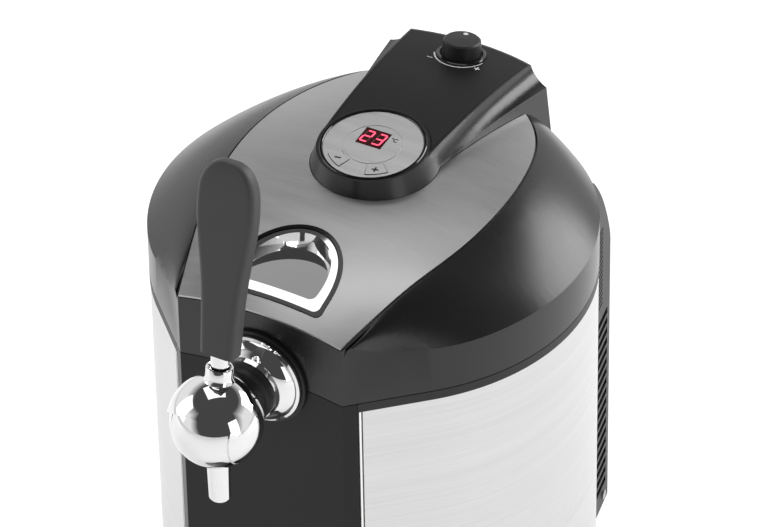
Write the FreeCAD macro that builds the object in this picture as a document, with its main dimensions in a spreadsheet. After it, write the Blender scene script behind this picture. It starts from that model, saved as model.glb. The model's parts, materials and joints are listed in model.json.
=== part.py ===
"""Mini keg beer dispenser: a cooled cabinet for a five litre keg, with a hinged lid and a ball tap.

The model is in millimetres. Every piece is drawn about the upright axis of the keg chamber, with
+Z up and the front towards -Y. Each finished piece is then moved along Y by the same amount, so
that the origin lies on the floor, in the middle of the box that bounds the whole dispenser.
"""
import FreeCAD, Part
import math
import os
import re

import Sketcher

Vector = FreeCAD.Vector

# Driving dimensions
SIZES = {
    # Cabinet
    "seam_height": 322.0,
    "body_radius": 135.0,
    "front_half_width": 54.5,
    "wall": 2.5,
    "steel_thickness": 1.0,
    "steel_inset": 0.3,
    "fit_gap": 0.3,
    "foot_height": 6.0,
    "foot_radius": 11.0,
    "foot_circle": 104.0,
    "base_height": 38.0,
    "deck_height": 6.0,
    "panel_return": 9.3,
    "bead_width": 1.2,
    "bead_gap": 0.9,
    "arch_rise": 5.0,
    # Keg chamber
    "bore_radius": 90.0,
    "liner_wall": 1.5,
    "chamber_floor": 58.0,
    "flange_width": 6.0,
    "coupler_room": 43.5,
    "seat_height": 4.0,
    "seat_width": 24.0,
    # Cooling unit
    "cooler_height": 162.0,
    "block_width": 60.0,
    "block_reach": 115.0,
    "peltier_width": 40.0,
    "peltier_thickness": 3.8,
    "sink_width": 92.0,
    "sink_plate": 5.0,
    "fin_height": 25.0,
    "fin_thickness": 1.4,
    "fin_count": 15.0,
    "fan_width": 80.0,
    "fan_depth": 20.0,
    "fan_bore": 37.0,
    "fan_hub": 16.0,
    "blade_count": 7.0,
    "shaft_radius": 1.5,
    # Rear housing
    "rear_reach": 176.0,
    "flange_thickness": 2.0,
    "housing_half_width": 72.7,
    "housing_taper": 12.0,
    "housing_corner": 13.0,
    "housing_drop": 273.0,
    "housing_front": 96.0,
    "shoulder_radius": 180.0,
    "shoulder_drop": 120.0,
    "housing_rise": 2.0,
    "slat_height": 5.0,
    "slat_pitch": 8.0,
    "slat_count": 18.0,
    "vent_height": 1.6,
    "vent_pitch": 3.6,
    "vent_count": 17.0,
    "screw_radius": 3.2,
    "pivot_radius": 1.2,
    # Lid
    "band_height": 31.0,
    "seam_gap": 0.6,
    "lid_wall": 3.0,
    "shoulder_bulge": 3.2,
    "plate_crown_rise": 70.0,
    "plate_thickness": 1.2,
    "plate_groove": 1.3,
    "spine_front_half_width": 34.5,
    "spine_rear_half_width": 54.2,
    "panel_rear_half_width": 41.3,
    "spine_rise": 84.5,
    "spine_curve": 480.0,
    "spine_crest": 50.0,
    "ridge_rise": 69.0,
    "ridge_arch": 3.2,
    "cove_depth": 3.0,
    "panel_thickness": 1.2,
    "nose_radius": 34.0,
    "nose_flare": 0.36,
    "display_tilt": 5.3,
    "display_rise": 82.4,
    "disc_radius": 29.9,
    "disc_thickness": 1.6,
    "ring_width": 2.3,
    "key_inner_radius": 18.6,
    "key_outer_radius": 27.6,
    "key_angle": 33.0,
    "key_spread": 30.0,
    "key_gap": 0.35,
    "led_width": 17.0,
    "led_depth": 15.0,
    # Lid release
    "button_half_width": 32.0,
    "button_length": 43.0,
    "button_centre": 112.0,
    "button_front": 122.5,
    "bezel_width": 2.4,
    "button_gap": 0.5,
    "button_height": 16.0,
    "scoop_depth": 7.0,
    # Pressure knob
    "knob_radius": 12.2,
    "knob_height": 10.5,
    "knob_centre": 110.0,
    "knob_tilt": 8.0,
    "flute_count": 36.0,
    "flute_radius": 0.6,
    # Tap
    "tap_rise": 4.0,
    "tap_reach": 184.5,
    "ball_radius": 27.4,
    "cap_wall": 1.6,
    "neck_radius": 8.2,
    "neck_rise": 37.0,
    "rod_radius": 5.6,
    "handle_lean": 9.0,
    "handle_length": 124.0,
    "handle_start": 46.0,
    "handle_width": 38.0,
    "handle_depth": 13.0,
    "spout_radius": 6.8,
    "spout_drop": 55.0,
    "collar_radius": 29.0,
    "collar_depth": 16.0,
    "shank_radius": 9.0,
    "ring_radius": 19.0,
    # Hinge
    "hinge_offset": 4.5,
    "hinge_drop": 2.0,
    "pin_radius": 2.5,
    "pin_fit": 0.1,
    # Drip tray
    "tray_reach": 255.0,
    "tray_half_width": 62.0,
    "tray_height": 24.0,
    "tray_corner": 30.0,
    "tray_gap": 1.0,
    "grate_thickness": 1.5,
}

AXIS_SHIFT = "(tray_reach - rear_reach) / 2"

document = FreeCAD.newDocument("mini_keg_dispenser")
sheet = document.addObject("Spreadsheet::Sheet", "sizes")
for row, (alias, number) in enumerate(SIZES.items(), start=1):
    sheet.set(f"A{row}", alias)
    sheet.set(f"B{row}", str(number))
    sheet.setAlias(f"B{row}", alias)
document.recompute()

finished_nodes = []


def formula(text):
    """Turn the words of a rule into cells of the sheet."""
    return re.sub(r"[a-z_]+", lambda word: "sizes." + word[0] if word[0] in SIZES else word[0], text)


def value(text):
    """The number that a rule gives now."""
    result = sheet.evalExpression(formula(text))
    return float(getattr(result, "Value", result))


def bind(thing, path, text):
    """Keep one property of an object equal to a rule."""
    thing.setExpression(path, formula(text))


def finish(thing, name, along="0"):
    """Name a finished piece and set it in the frame of the whole dispenser."""
    thing.Label = name
    bind(thing, "Placement.Base.y", f"{AXIS_SHIFT} + {along}")
    finished_nodes.append((thing, name))
    return thing


def feature(name, shape):
    """A finished piece whose shape comes from surfaces that no sketch can give."""
    thing = document.addObject("Part::Feature", name)
    thing.Shape = shape
    thing.Placement = FreeCAD.Placement(Vector(0, value(AXIS_SHIFT), 0), FreeCAD.Rotation())
    return finish(thing, name)


# Sketches and solid features

def new_body(name):
    return document.addObject("PartDesign::Body", name + "_body")


def origin_plane(body, role):
    return next(item for item in body.Origin.OriginFeatures if item.Role == role)


def new_sketch(body, role, offset):
    sketch = body.newObject("Sketcher::SketchObject", "outline")
    sketch.AttachmentSupport = (origin_plane(body, role), "")
    sketch.MapMode = "FlatFace"
    bind(sketch, "AttachmentOffset.Base.z", offset)
    return sketch


def constrain(sketch, constraint, text):
    index = sketch.addConstraint(constraint)
    bind(sketch, f"Constraints[{index}]", text)


def arc_between(start, end, radius, side):
    """The shorter arc from start to end, to the right of the way there if side is 1, or to the left."""
    middle = (start + end) * 0.5
    along = (end - start).normalize()
    left = Vector(-along.y, along.x, 0)
    half = (end - start).Length / 2
    centre = middle + left * (side * math.sqrt(max(radius * radius - half * half, 0)))
    return Part.Arc(start, centre - left * (side * radius), end)


def profile(body, points, role="XY_Plane", offset="0"):
    """A closed outline. A point is (x, y), or (x, y, radius, side) where an arc leads on from it."""
    sketch = new_sketch(body, role, offset)
    spots = [Vector(value(point[0]), value(point[1]), 0) for point in points]
    starts = []
    ends = []
    for index, point in enumerate(points):
        start = spots[index]
        end = spots[(index + 1) % len(spots)]
        if len(point) == 2:
            sketch.addGeometry(Part.LineSegment(start, end), False)
        else:
            sketch.addGeometry(arc_between(start, end, value(point[2]), point[3]), False)
        forward = (sketch.getPoint(index, 1) - start).Length < (sketch.getPoint(index, 2) - start).Length
        starts.append(1 if forward else 2)
        ends.append(2 if forward else 1)
    for index, point in enumerate(points):
        following = (index + 1) % len(points)
        sketch.addConstraint(
            Sketcher.Constraint("Coincident", index, ends[index], following, starts[following])
        )
        x_rule = Sketcher.Constraint("DistanceX", -1, 1, index, starts[index], spots[index].x)
        constrain(sketch, x_rule, point[0])
        y_rule = Sketcher.Constraint("DistanceY", -1, 1, index, starts[index], spots[index].y)
        constrain(sketch, y_rule, point[1])
        if len(point) > 2:
            constrain(sketch, Sketcher.Constraint("Radius", index, value(point[2])), point[2])
    return sketch


def circles(body, rounds, role="XY_Plane", offset="0"):
    """Whole circles, each (x, y, radius)."""
    sketch = new_sketch(body, role, offset)
    for index, (x, y, radius) in enumerate(rounds):
        centre = Vector(value(x), value(y), 0)
        sketch.addGeometry(Part.Circle(centre, Vector(0, 0, 1), value(radius)), False)
        constrain(sketch, Sketcher.Constraint("Radius", index, value(radius)), radius)
        constrain(sketch, Sketcher.Constraint("DistanceX", -1, 1, index, 3, centre.x), x)
        constrain(sketch, Sketcher.Constraint("DistanceY", -1, 1, index, 3, centre.y), y)
    return sketch


def rectangle(x_low, x_high, y_low, y_high):
    return [(x_low, y_low), (x_high, y_low), (x_high, y_high), (x_low, y_high)]


def pad(body, sketch, length, middle=False):
    result = body.newObject("PartDesign::Pad", "pad")
    result.Profile = sketch
    result.Midplane = middle
    bind(result, "Length", length)
    document.recompute()
    return result


def pocket(body, sketch, length, middle=False, reverse=False):
    """Cut a sketch out of a body, and make sure that it did cut."""
    before = body.Shape.Volume
    result = body.newObject("PartDesign::Pocket", "pocket")
    result.Profile = sketch
    result.Midplane = middle
    result.Reversed = reverse
    bind(result, "Length", length)
    document.recompute()
    if not body.Shape.Volume < before - 1e-6:
        raise RuntimeError(f"a pocket of {body.Name} cuts nothing")
    return result


def revolve(body, sketch, axis="V_Axis"):
    result = body.newObject("PartDesign::Revolution", "turned")
    result.Profile = sketch
    result.ReferenceAxis = (sketch, [axis])
    result.Angle = 360
    document.recompute()
    return result


def line_pattern(body, original, sketch, axis, length, count):
    result = body.newObject("PartDesign::LinearPattern", "row")
    result.Originals = [original]
    result.Direction = (sketch, [axis])
    bind(result, "Length", length)
    bind(result, "Occurrences", count)
    body.Tip = result
    document.recompute()
    return result


def polar_pattern(body, original, sketch, count):
    result = body.newObject("PartDesign::PolarPattern", "ring")
    result.Originals = [original]
    result.Axis = (sketch, ["N_Axis"])
    result.Angle = 360
    bind(result, "Occurrences", count)
    body.Tip = result
    document.recompute()
    return result


def box(x_low, x_high, y_low, y_high, z_low, z_high):
    """A block between six rules."""
    block = document.addObject("Part::Box", "block")
    for axis, side, low, high in (
        ("x", "Length", x_low, x_high),
        ("y", "Width", y_low, y_high),
        ("z", "Height", z_low, z_high),
    ):
        bind(block, side, f"({high}) - ({low})")
        bind(block, f"Placement.Base.{axis}", low)
    return block


def cylinder(radius, height, x="0", y="0", z="0", turn=None):
    """A round bar from a point, upright or turned to lie along +X or +Y."""
    bar = document.addObject("Part::Cylinder", "bar")
    bind(bar, "Radius", radius)
    bind(bar, "Height", height)
    if turn == "x":
        bar.Placement.Rotation = FreeCAD.Rotation(Vector(0, 1, 0), 90)
    if turn == "y":
        bar.Placement.Rotation = FreeCAD.Rotation(Vector(1, 0, 0), -90)
    bind(bar, "Placement.Base.x", x)
    bind(bar, "Placement.Base.y", y)
    bind(bar, "Placement.Base.z", z)
    return bar


def cut(base, *tools):
    for tool in tools:
        result = document.addObject("Part::Cut", "cut")
        result.Base = base
        result.Tool = tool
        base = result
    document.recompute()
    return base


def group(*items):
    """Several separate solids in one node."""
    result = document.addObject("Part::Compound", "group")
    result.Links = list(items)
    document.recompute()
    return result


def joined(*items):
    result = document.addObject("Part::MultiFuse", "joined")
    result.Shapes = list(items)
    document.recompute()
    return result


# Plan of the cabinet: a circle whose flat front runs out to two sharp corners

FRONT_TURN = "2 * atan(front_half_width / body_radius)"


def plan(body, radius, offset="0"):
    """The plan on any inner or outer radius, because every side of it touches that circle."""
    corner = f"({radius}) * front_half_width / body_radius"
    side_x = f"({radius}) * sin({FRONT_TURN})"
    side_y = f"-({radius}) * cos({FRONT_TURN})"
    points = [
        (f"-{corner}", f"-({radius})"),
        (corner, f"-({radius})"),
        (side_x, side_y, radius, 1),
        ("0", radius, radius, 1),
        (f"-{side_x}", side_y),
    ]
    return profile(body, points, "XY_Plane", offset)


def side_point(radius, run):
    """A point on the straight side of the plan, some way back from its front corner."""
    x = f"({radius}) * front_half_width / body_radius + ({run}) * cos({FRONT_TURN})"
    y = f"-({radius}) + ({run}) * sin({FRONT_TURN})"
    return x, y


def wrap_points(outer, inner, run):
    """A sheet that follows the plan round the back, from one straight side to the other."""
    start_x, start_y = side_point(outer, run)
    end_x, end_y = side_point(inner, run)
    turned = f"sin({FRONT_TURN})"
    back = f"cos({FRONT_TURN})"
    return [
        (start_x, start_y),
        (f"({outer}) * {turned}", f"-({outer}) * {back}", outer, 1),
        ("0", outer, outer, 1),
        (f"-({outer}) * {turned}", f"-({outer}) * {back}"),
        (f"-({start_x})", start_y),
        (f"-({end_x})", end_y),
        (f"-({inner}) * {turned}", f"-({inner}) * {back}", inner, -1),
        ("0", inner, inner, -1),
        (f"({inner}) * {turned}", f"-({inner}) * {back}"),
        (end_x, end_y),
    ]


def channel_points(outer, inner, run):
    """The front panel's plan: a flat front with a return along each side."""
    start_x, start_y = side_point(outer, run)
    end_x, end_y = side_point(inner, run)
    outer_corner = f"({outer}) * front_half_width / body_radius"
    inner_corner = f"({inner}) * front_half_width / body_radius"
    return [
        (f"-({start_x})", start_y),
        (f"-{outer_corner}", f"-({outer})"),
        (outer_corner, f"-({outer})"),
        (start_x, start_y),
        (end_x, end_y),
        (inner_corner, f"-({inner})"),
        (f"-{inner_corner}", f"-({inner})"),
        (f"-({end_x})", end_y),
    ]


BASE_TOP = "foot_height + base_height"
DECK_BOTTOM = "seam_height - deck_height"
TAP_HEIGHT = "seam_height + tap_rise"
SHANK_SLOT = "shank_radius + fit_gap"


def nut_room():
    """The wider place, open above, for the nut behind the front panel."""
    room = "(shank_radius + 6)"
    bottom = cylinder(room, "9", y="-body_radius + wall - 1", z=TAP_HEIGHT, turn="y")
    top = box(f"-{room}", room, "-body_radius + wall - 1", "-body_radius + wall + 8", TAP_HEIGHT,
              "seam_height + band_height")
    return joined(bottom, top)


def shank_slot():
    """The slot, round at its foot, in which the tap's shank crosses the rim of the chamber."""
    bottom = cylinder(SHANK_SLOT, "body_radius", y="-body_radius - tray_gap", z=TAP_HEIGHT, turn="y")
    top = box(
        f"-({SHANK_SLOT})", SHANK_SLOT, "-body_radius - tray_gap", "-tray_gap",
        TAP_HEIGHT, "seam_height + band_height",
    )
    return joined(bottom, top)


def set_at(shape, angle, place):
    """Tip a shape about X and move it to a place."""
    matrix = FreeCAD.Matrix()
    matrix.rotateX(math.radians(angle))
    matrix.move(place)
    return shape.transformed(matrix, copy=True)


# Cabinet

def base_moulding():
    """The plinth: a tray-shaped moulding with two sockets at the front for the drip tray."""
    body = new_body("base_moulding")
    pad(body, plan(body, "body_radius - steel_inset", "foot_height"), "base_height")
    pocket(body, plan(body, "body_radius - wall", BASE_TOP), "base_height - wall")
    for side in ("", "-"):
        low, high = ("28", "44") if side == "" else ("-44", "-28")
        socket = profile(body, rectangle(low, high, "tray_height - 14", "tray_height - 8"), "XZ_Plane",
                         "body_radius")
        pocket(body, socket, "wall * 2")
    return finish(body, "base_moulding")


def rubber_feet():
    feet = []
    for across, along in ((1, 1), (1, -1), (-1, 1), (-1, -1)):
        feet.append(cylinder("foot_radius", "foot_height", f"{across} * foot_circle * sin(45)",
                             f"{along} * foot_circle * sin(45)"))
    return finish(group(*feet), "rubber_feet")


def steel_wrap():
    """The brushed steel jacket, open behind where the cooling unit passes through it."""
    body = new_body("steel_wrap")
    outer = "(body_radius - steel_inset)"
    inner = "(body_radius - steel_inset - steel_thickness)"
    run = "panel_return + bead_width + 2 * bead_gap"
    sketch = profile(body, wrap_points(outer, inner, run), "XY_Plane", BASE_TOP)
    pad(body, sketch, f"{DECK_BOTTOM} - ({BASE_TOP})")
    half = "sink_width / 2 + wall"
    window = box(f"-({half})", half, "0", "body_radius * 2", f"cooler_height - ({half})",
                 f"cooler_height + {half}")
    return finish(cut(body, window), "steel_wrap")


def front_panel():
    """The flat black front with its short returns, arched along the top and notched for the tap."""
    body = new_body("front_panel")
    sketch = profile(body, channel_points("body_radius", "(body_radius - wall)", "panel_return"),
                     "XY_Plane", BASE_TOP)
    pad(body, sketch, f"seam_height + arch_rise - ({BASE_TOP})")
    above = [
        ("-body_radius", "seam_height"),
        ("-front_half_width", "seam_height", "(front_half_width ^ 2 + arch_rise ^ 2) / (2 * arch_rise)", -1),
        ("front_half_width", "seam_height"),
        ("body_radius", "seam_height"),
        ("body_radius", "seam_height + 2 * arch_rise"),
        ("-body_radius", "seam_height + 2 * arch_rise"),
    ]
    pocket(body, profile(body, above, "XZ_Plane"), "body_radius * 3", middle=True)
    notch = circles(body, [("0", TAP_HEIGHT, "ring_radius + fit_gap")], "XZ_Plane", "body_radius")
    pocket(body, notch, "wall * 2")
    return finish(body, "front_panel")


def panel_beads():
    """The two thin bright strips that close the joint between front panel and steel."""
    outer = "(body_radius - steel_inset)"
    inner = "(body_radius - wall)"
    near = "(panel_return + bead_gap)"
    far = "(panel_return + bead_gap + bead_width)"
    strips = []
    for side in ("", "-"):
        body = new_body("panel_bead")
        points = []
        for radius, run in ((outer, near), (outer, far), (inner, far), (inner, near)):
            x, y = side_point(radius, run)
            points.append((f"{side}({x})", y))
        pad(body, profile(body, points, "XY_Plane", BASE_TOP), f"{DECK_BOTTOM} - ({BASE_TOP})")
        strips.append(body)
    return finish(group(*strips), "panel_beads")


def top_deck():
    """The black rim on which the lid closes, with the mouth of the chamber in it."""
    body = new_body("top_deck")
    pad(body, plan(body, "body_radius", DECK_BOTTOM), "deck_height")
    mouth = circles(body, [("0", "0", "bore_radius + liner_wall + fit_gap")], "XY_Plane", "seam_height")
    pocket(body, mouth, "deck_height * 2")
    outer = "(body_radius * 1.1)"
    inner = "(body_radius - wall - fit_gap)"
    room = profile(body, channel_points(outer, inner, "panel_return + fit_gap"), "XY_Plane", "seam_height")
    pocket(body, room, "deck_height * 2")
    return finish(cut(body, shank_slot(), nut_room()), "top_deck")


def insulation():
    """The foam between jacket and chamber, with room behind for the cooling unit."""
    body = new_body("insulation")
    floor = "(tray_height - 6)"
    pad(body, plan(body, "body_radius - wall - fit_gap", floor), f"{DECK_BOTTOM} - fit_gap - ({floor})")
    well = circles(body, [("0", "0", "bore_radius + liner_wall + fit_gap")], "XY_Plane", DECK_BOTTOM)
    pocket(body, well, f"{DECK_BOTTOM} - chamber_floor + liner_wall + fit_gap")
    half = "sink_width / 2 + fit_gap"
    room = box(f"-({half})", half, "block_reach - wall", "body_radius * 2",
               f"cooler_height - ({half})", f"cooler_height + {half}")
    half_block = "block_width / 2 + fit_gap"
    passage = box(f"-({half_block})", half_block, "0", "body_radius * 2",
                  f"cooler_height - ({half_block})", f"cooler_height + {half_block}")
    return finish(cut(body, room, passage, nut_room()), "insulation")


def chamber_liner():
    """The aluminium cup that holds the keg, with a turned-out rim."""
    body = new_body("chamber_liner")
    outer = "bore_radius + liner_wall"
    section = [
        ("0", "chamber_floor - liner_wall"),
        (outer, "chamber_floor - liner_wall"),
        (outer, "seam_height + fit_gap"),
        (f"{outer} + flange_width", "seam_height + fit_gap"),
        (f"{outer} + flange_width", "seam_height + fit_gap + liner_wall"),
        ("bore_radius", "seam_height + fit_gap + liner_wall"),
        ("bore_radius", "chamber_floor"),
        ("0", "chamber_floor"),
    ]
    revolve(body, profile(body, section, "XZ_Plane"))
    return finish(cut(body, shank_slot()), "chamber_liner")


def keg_seat():
    """The ribbed rubber ring that the keg stands on."""
    body = new_body("keg_seat")
    sketch = circles(body, [("0", "0", "bore_radius - 4"), ("0", "0", "bore_radius - 4 - seat_width")],
                     "XY_Plane", "chamber_floor")
    pad(body, sketch, "seat_height")
    groove = profile(body, rectangle("-1.5", "1.5", "0", "bore_radius"), "XY_Plane",
                     "chamber_floor + seat_height")
    original = pocket(body, groove, "seat_height / 2")
    polar_pattern(body, original, groove, "12")
    return finish(body, "keg_seat")


# Cooling unit

def cold_block():
    half = "block_width / 2"
    block = box(f"-{half}", half, "0", "block_reach", f"cooler_height - {half}", f"cooler_height + {half}")
    return finish(cut(block, cylinder("bore_radius + liner_wall + fit_gap", "seam_height")), "cold_block")


def peltier_module():
    half = "peltier_width / 2"
    plate = box(f"-{half}", half, "block_reach", "block_reach + peltier_thickness",
                f"cooler_height - {half}", f"cooler_height + {half}")
    return finish(plate, "peltier_module", "block_reach")


SINK_FRONT = "block_reach + peltier_thickness"
FAN_BACK = "rear_reach - flange_thickness - wall - fit_gap"


def heat_sink():
    """A finned extrusion: one plate with a row of upright fins behind it."""
    body = new_body("heat_sink")
    half = "sink_width / 2"
    plate = profile(body, rectangle(f"-{half}", half, SINK_FRONT, f"{SINK_FRONT} + sink_plate"),
                    "XY_Plane", f"cooler_height - {half}")
    pad(body, plate, "sink_width")
    fin = profile(body, rectangle(f"-{half}", f"-{half} + fin_thickness", f"{SINK_FRONT} + sink_plate",
                                  f"{SINK_FRONT} + sink_plate + fin_height"),
                  "XY_Plane", f"cooler_height - {half}")
    first = pad(body, fin, "sink_width")
    line_pattern(body, first, fin, "H_Axis", "sink_width - fin_thickness", "fin_count")
    return finish(body, "heat_sink")


def fan_frame():
    """The square frame behind the fins, with four spokes that carry the motor."""
    body = new_body("fan_frame")
    half = "fan_width / 2"
    square = profile(body, rectangle(f"-{half}", half, f"cooler_height - {half}", f"cooler_height + {half}"),
                     "XZ_Plane", f"-({FAN_BACK})")
    pad(body, square, "fan_depth")
    bore = circles(body, [("0", "cooler_height", "fan_bore")], "XZ_Plane", f"-({FAN_BACK}) + fan_depth")
    pocket(body, bore, "fan_depth * 2", middle=True)
    hub = circles(body, [("0", "cooler_height", "fan_hub")], "XZ_Plane", f"-({FAN_BACK})")
    pad(body, hub, "wall")
    for spoke in (rectangle("-2", "2", "cooler_height - fan_bore - 1", "cooler_height + fan_bore + 1"),
                  rectangle("-fan_bore - 1", "fan_bore + 1", "cooler_height - 2", "cooler_height + 2")):
        pad(body, profile(body, spoke, "XZ_Plane", f"-({FAN_BACK})"), "wall")
    shaft = circles(body, [("0", "cooler_height", "shaft_radius")], "XZ_Plane", f"-({FAN_BACK})")
    pad(body, shaft, "fan_depth - 5")
    corner = "(fan_width / 2 - 5)"
    holes = [(f"{across}{corner}", f"cooler_height {along} {corner}", "2.1")
             for across in ("", "-") for along in ("+", "-")]
    pocket(body, circles(body, holes, "XZ_Plane", f"-({FAN_BACK}) + fan_depth"), "fan_depth * 3", middle=True)
    return finish(body, "fan_frame")


def fan_rotor():
    """A hub that turns on the shaft, with pitched blades."""
    hub_length = value("fan_depth - wall - 5")
    front = value(f"{FAN_BACK} - fan_depth") + 2.5
    hub_radius = value("fan_hub") - 0.5
    tip_radius = value("fan_bore") - 1.2
    height = value("cooler_height")
    hub = Part.makeCylinder(hub_radius, hub_length, Vector(0, front, height), Vector(0, 1, 0))
    bore = Part.makeCylinder(value("shaft_radius + pin_fit / 2"), value("fan_depth"),
                             Vector(0, front + 1.5, height), Vector(0, 1, 0))
    blades = []
    count = int(value("blade_count"))
    for index in range(count):
        rings = []
        for radius, half_chord, pitch in ((hub_radius - 1, 6.0, 42), (tip_radius, 11.0, 26)):
            rise = half_chord * math.sin(math.radians(pitch))
            run = half_chord * math.cos(math.radians(pitch))
            middle = front + hub_length / 2
            points = [
                Vector(-run, middle - rise, radius),
                Vector(-run, middle - rise + 1.4, radius),
                Vector(run, middle + rise + 0.7, radius),
                Vector(run, middle + rise - 0.7, radius),
            ]
            rings.append(Part.makePolygon(points + points[:1]))
        blade = Part.makeLoft(rings, True, True)
        blade = blade.common(Part.makeCylinder(tip_radius - 0.6, 60, Vector(0, front - 20, 0), Vector(0, 1, 0)))
        blade.rotate(Vector(0, 0, 0), Vector(0, 1, 0), 360 * index / count)
        blade.translate(Vector(0, 0, height))
        blades.append(blade)
    return feature("fan_rotor", hub.multiFuse(blades).cut(bore).removeSplitter())


# Rear housing

REAR_PLANE = "(rear_reach - flange_thickness)"
HOUSING_BOTTOM = "seam_height - housing_drop"


def housing_plan():
    """A block that narrows to the rear, with its two rear corners rounded."""
    corner = "(housing_corner * tan((90 - housing_taper) / 2))"
    side_x = f"housing_half_width + {corner} * sin(housing_taper)"
    side_y = f"{REAR_PLANE} - {corner} * cos(housing_taper)"
    front_x = f"housing_half_width + ({REAR_PLANE} - housing_front) * tan(housing_taper)"
    return [
        (f"-({front_x})", "housing_front"),
        (front_x, "housing_front"),
        (side_x, side_y, "housing_corner", 1),
        (f"housing_half_width - {corner}", REAR_PLANE),
        (f"-housing_half_width + {corner}", REAR_PLANE, "housing_corner", 1),
        (f"-({side_x})", side_y),
    ]


def rear_housing():
    """The moulded cover of the cooling unit: a shell with a round shoulder, slats, vents and a grille."""
    body = new_body("rear_housing")
    block = profile(body, housing_plan(), "XY_Plane", HOUSING_BOTTOM)
    pad(body, block, "housing_drop + housing_rise")
    crest = (f"{REAR_PLANE} - shoulder_radius"
             " + sqrt(shoulder_radius ^ 2 - (shoulder_drop + housing_rise) ^ 2)")
    shoulder = [
        (crest, "seam_height + housing_rise", "shoulder_radius", -1),
        (REAR_PLANE, "seam_height - shoulder_drop"),
        ("body_radius * 2", "seam_height - shoulder_drop"),
        ("body_radius * 2", "seam_height + band_height"),
        (crest, "seam_height + band_height"),
    ]
    pocket(body, profile(body, shoulder, "YZ_Plane"), "body_radius * 3", middle=True)
    block_tip = body.Tip
    faces = block_tip.Shape.Faces
    open_face = min(range(len(faces)), key=lambda index: faces[index].CenterOfMass.y)
    shell = body.newObject("PartDesign::Thickness", "shell")
    shell.Base = (block_tip, [f"Face{open_face + 1}"])
    shell.Reversed = True
    bind(shell, "Value", "wall")
    document.recompute()
    slat = profile(body, rectangle("118", "160", f"{HOUSING_BOTTOM} + 15",
                                   f"{HOUSING_BOTTOM} + 15 + slat_height"), "YZ_Plane")
    first_slat = pocket(body, slat, "body_radius * 3", middle=True)
    line_pattern(body, first_slat, slat, "V_Axis", "slat_pitch * (slat_count - 1)", "slat_count")
    vent_low = f"{HOUSING_BOTTOM} + 15 + slat_pitch * (slat_count + 1)"
    vent = profile(body, rectangle("116", "148", vent_low, f"{vent_low} + vent_height"), "YZ_Plane")
    first_vent = pocket(body, vent, "body_radius * 3", middle=True)
    line_pattern(body, first_vent, vent, "V_Axis", "vent_pitch * (vent_count - 1)", "vent_count")
    slot = profile(body, rectangle("-fan_bore + 2", "fan_bore - 2", "cooler_height - fan_bore + 3",
                                   "cooler_height - fan_bore + 7"), "XZ_Plane", f"-{REAR_PLANE}")
    first_slot = pocket(body, slot, "wall * 3", middle=True)
    line_pattern(body, first_slot, slot, "V_Axis", "fan_bore * 2 - 10", "10")
    door = profile(body, rectangle("-29", "29", "75", "105"), "XZ_Plane", f"-{REAR_PLANE}")
    pocket(body, door, "wall * 3", middle=True)
    core = new_body("cabinet_core")
    pad(core, plan(core, "body_radius", "0"), DECK_BOTTOM)
    lid_core = new_body("lid_core")
    pad(lid_core, plan(lid_core, "body_radius + 2 * seam_gap", DECK_BOTTOM), "band_height * 2")
    tools = [core, lid_core]
    for side in ("", "-"):
        low, high = ("27", "46") if side == "" else ("-46", "-27")
        tools.append(box(low, high, "0", "(body_radius + hinge_offset) + 8", "seam_height - 27", "seam_height + 20"))
    return finish(cut(body, *tools), "rear_housing")


def housing_screws():
    """Four screws in the back of the rear housing and one low down in each of its sides."""
    screws = []
    for x, z in (("56", f"{HOUSING_BOTTOM} + 10"), ("-56", f"{HOUSING_BOTTOM} + 10"),
                 ("58", "cooler_height - 58"), ("-58", "cooler_height - 58")):
        screws.append(cylinder("screw_radius", "flange_thickness * 0.8", x, REAR_PLANE, z, "y"))
    for side in (1, -1):
        screw = cylinder("screw_radius", "flange_thickness * 0.6",
                         f"{side} * (housing_half_width + 20 * tan(housing_taper))",
                         f"{REAR_PLANE} - 20", f"{HOUSING_BOTTOM} + 8")
        across = 90 - value("housing_taper")
        screw.Placement.Rotation = FreeCAD.Rotation(Vector(0, 0, 1), Vector(
            side * math.sin(math.radians(across)), math.cos(math.radians(across)), 0))
        screws.append(screw)
    return finish(group(*screws), "housing_screws")


def power_inlet():
    """A flanged module with a mains socket on one side and the frame of a rocker on the other."""
    body = new_body("power_inlet")
    flange = profile(body, rectangle("-32", "32", "72", "108"), "XZ_Plane", "-rear_reach")
    pad(body, flange, "flange_thickness")
    block = profile(body, rectangle("-28.7", "28.7", "75.3", "104.7"), "XZ_Plane", "-rear_reach")
    pad(body, block, "flange_thickness + 22")
    mouth = [
        ("-25", "80"), ("3", "80"), ("3", "94"), ("-2", "99"), ("-20", "99"), ("-25", "94"),
    ]
    pocket(body, profile(body, mouth, "XZ_Plane", "-rear_reach"), "16", reverse=True)
    for x, z in ((-18, 86), (-4, 86), (-11, 92)):
        pin = profile(body, rectangle(f"{x} - 1", f"{x} + 1", f"{z} - 2", f"{z} + 2"), "XZ_Plane",
                      "-rear_reach + 4")
        pad(body, pin, "13")
    well = profile(body, rectangle("9.5", "24.5", "79.5", "100.5"), "XZ_Plane", "-rear_reach")
    pocket(body, well, "14", reverse=True)
    pad(body, circles(body, [("rear_reach - 7", "90", "pivot_radius")], "YZ_Plane", "9"), "16")
    return finish(body, "power_inlet")


def power_switch():
    """A rocker, set so that its lower half lies flush and its upper half stands out."""
    body = new_body("power_switch")
    pivot_y = "(rear_reach - 7)"
    rocker = [
        (f"{pivot_y} - 4", "90 - 7"),
        (f"{pivot_y} + 4", "90 - 9"),
        (f"{pivot_y} + 4", "90"),
        (f"{pivot_y} + 4 + 9 * tan(14)", "90 + 9"),
        (f"{pivot_y} - 4", "90 + 7"),
    ]
    pad(body, profile(body, rocker, "YZ_Plane", "9.8"), "14.4")
    pivot = circles(body, [(pivot_y, "90", "pivot_radius + fit_gap")], "YZ_Plane", "5")
    pocket(body, pivot, "50", middle=True)
    return finish(body, "power_switch")


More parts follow.
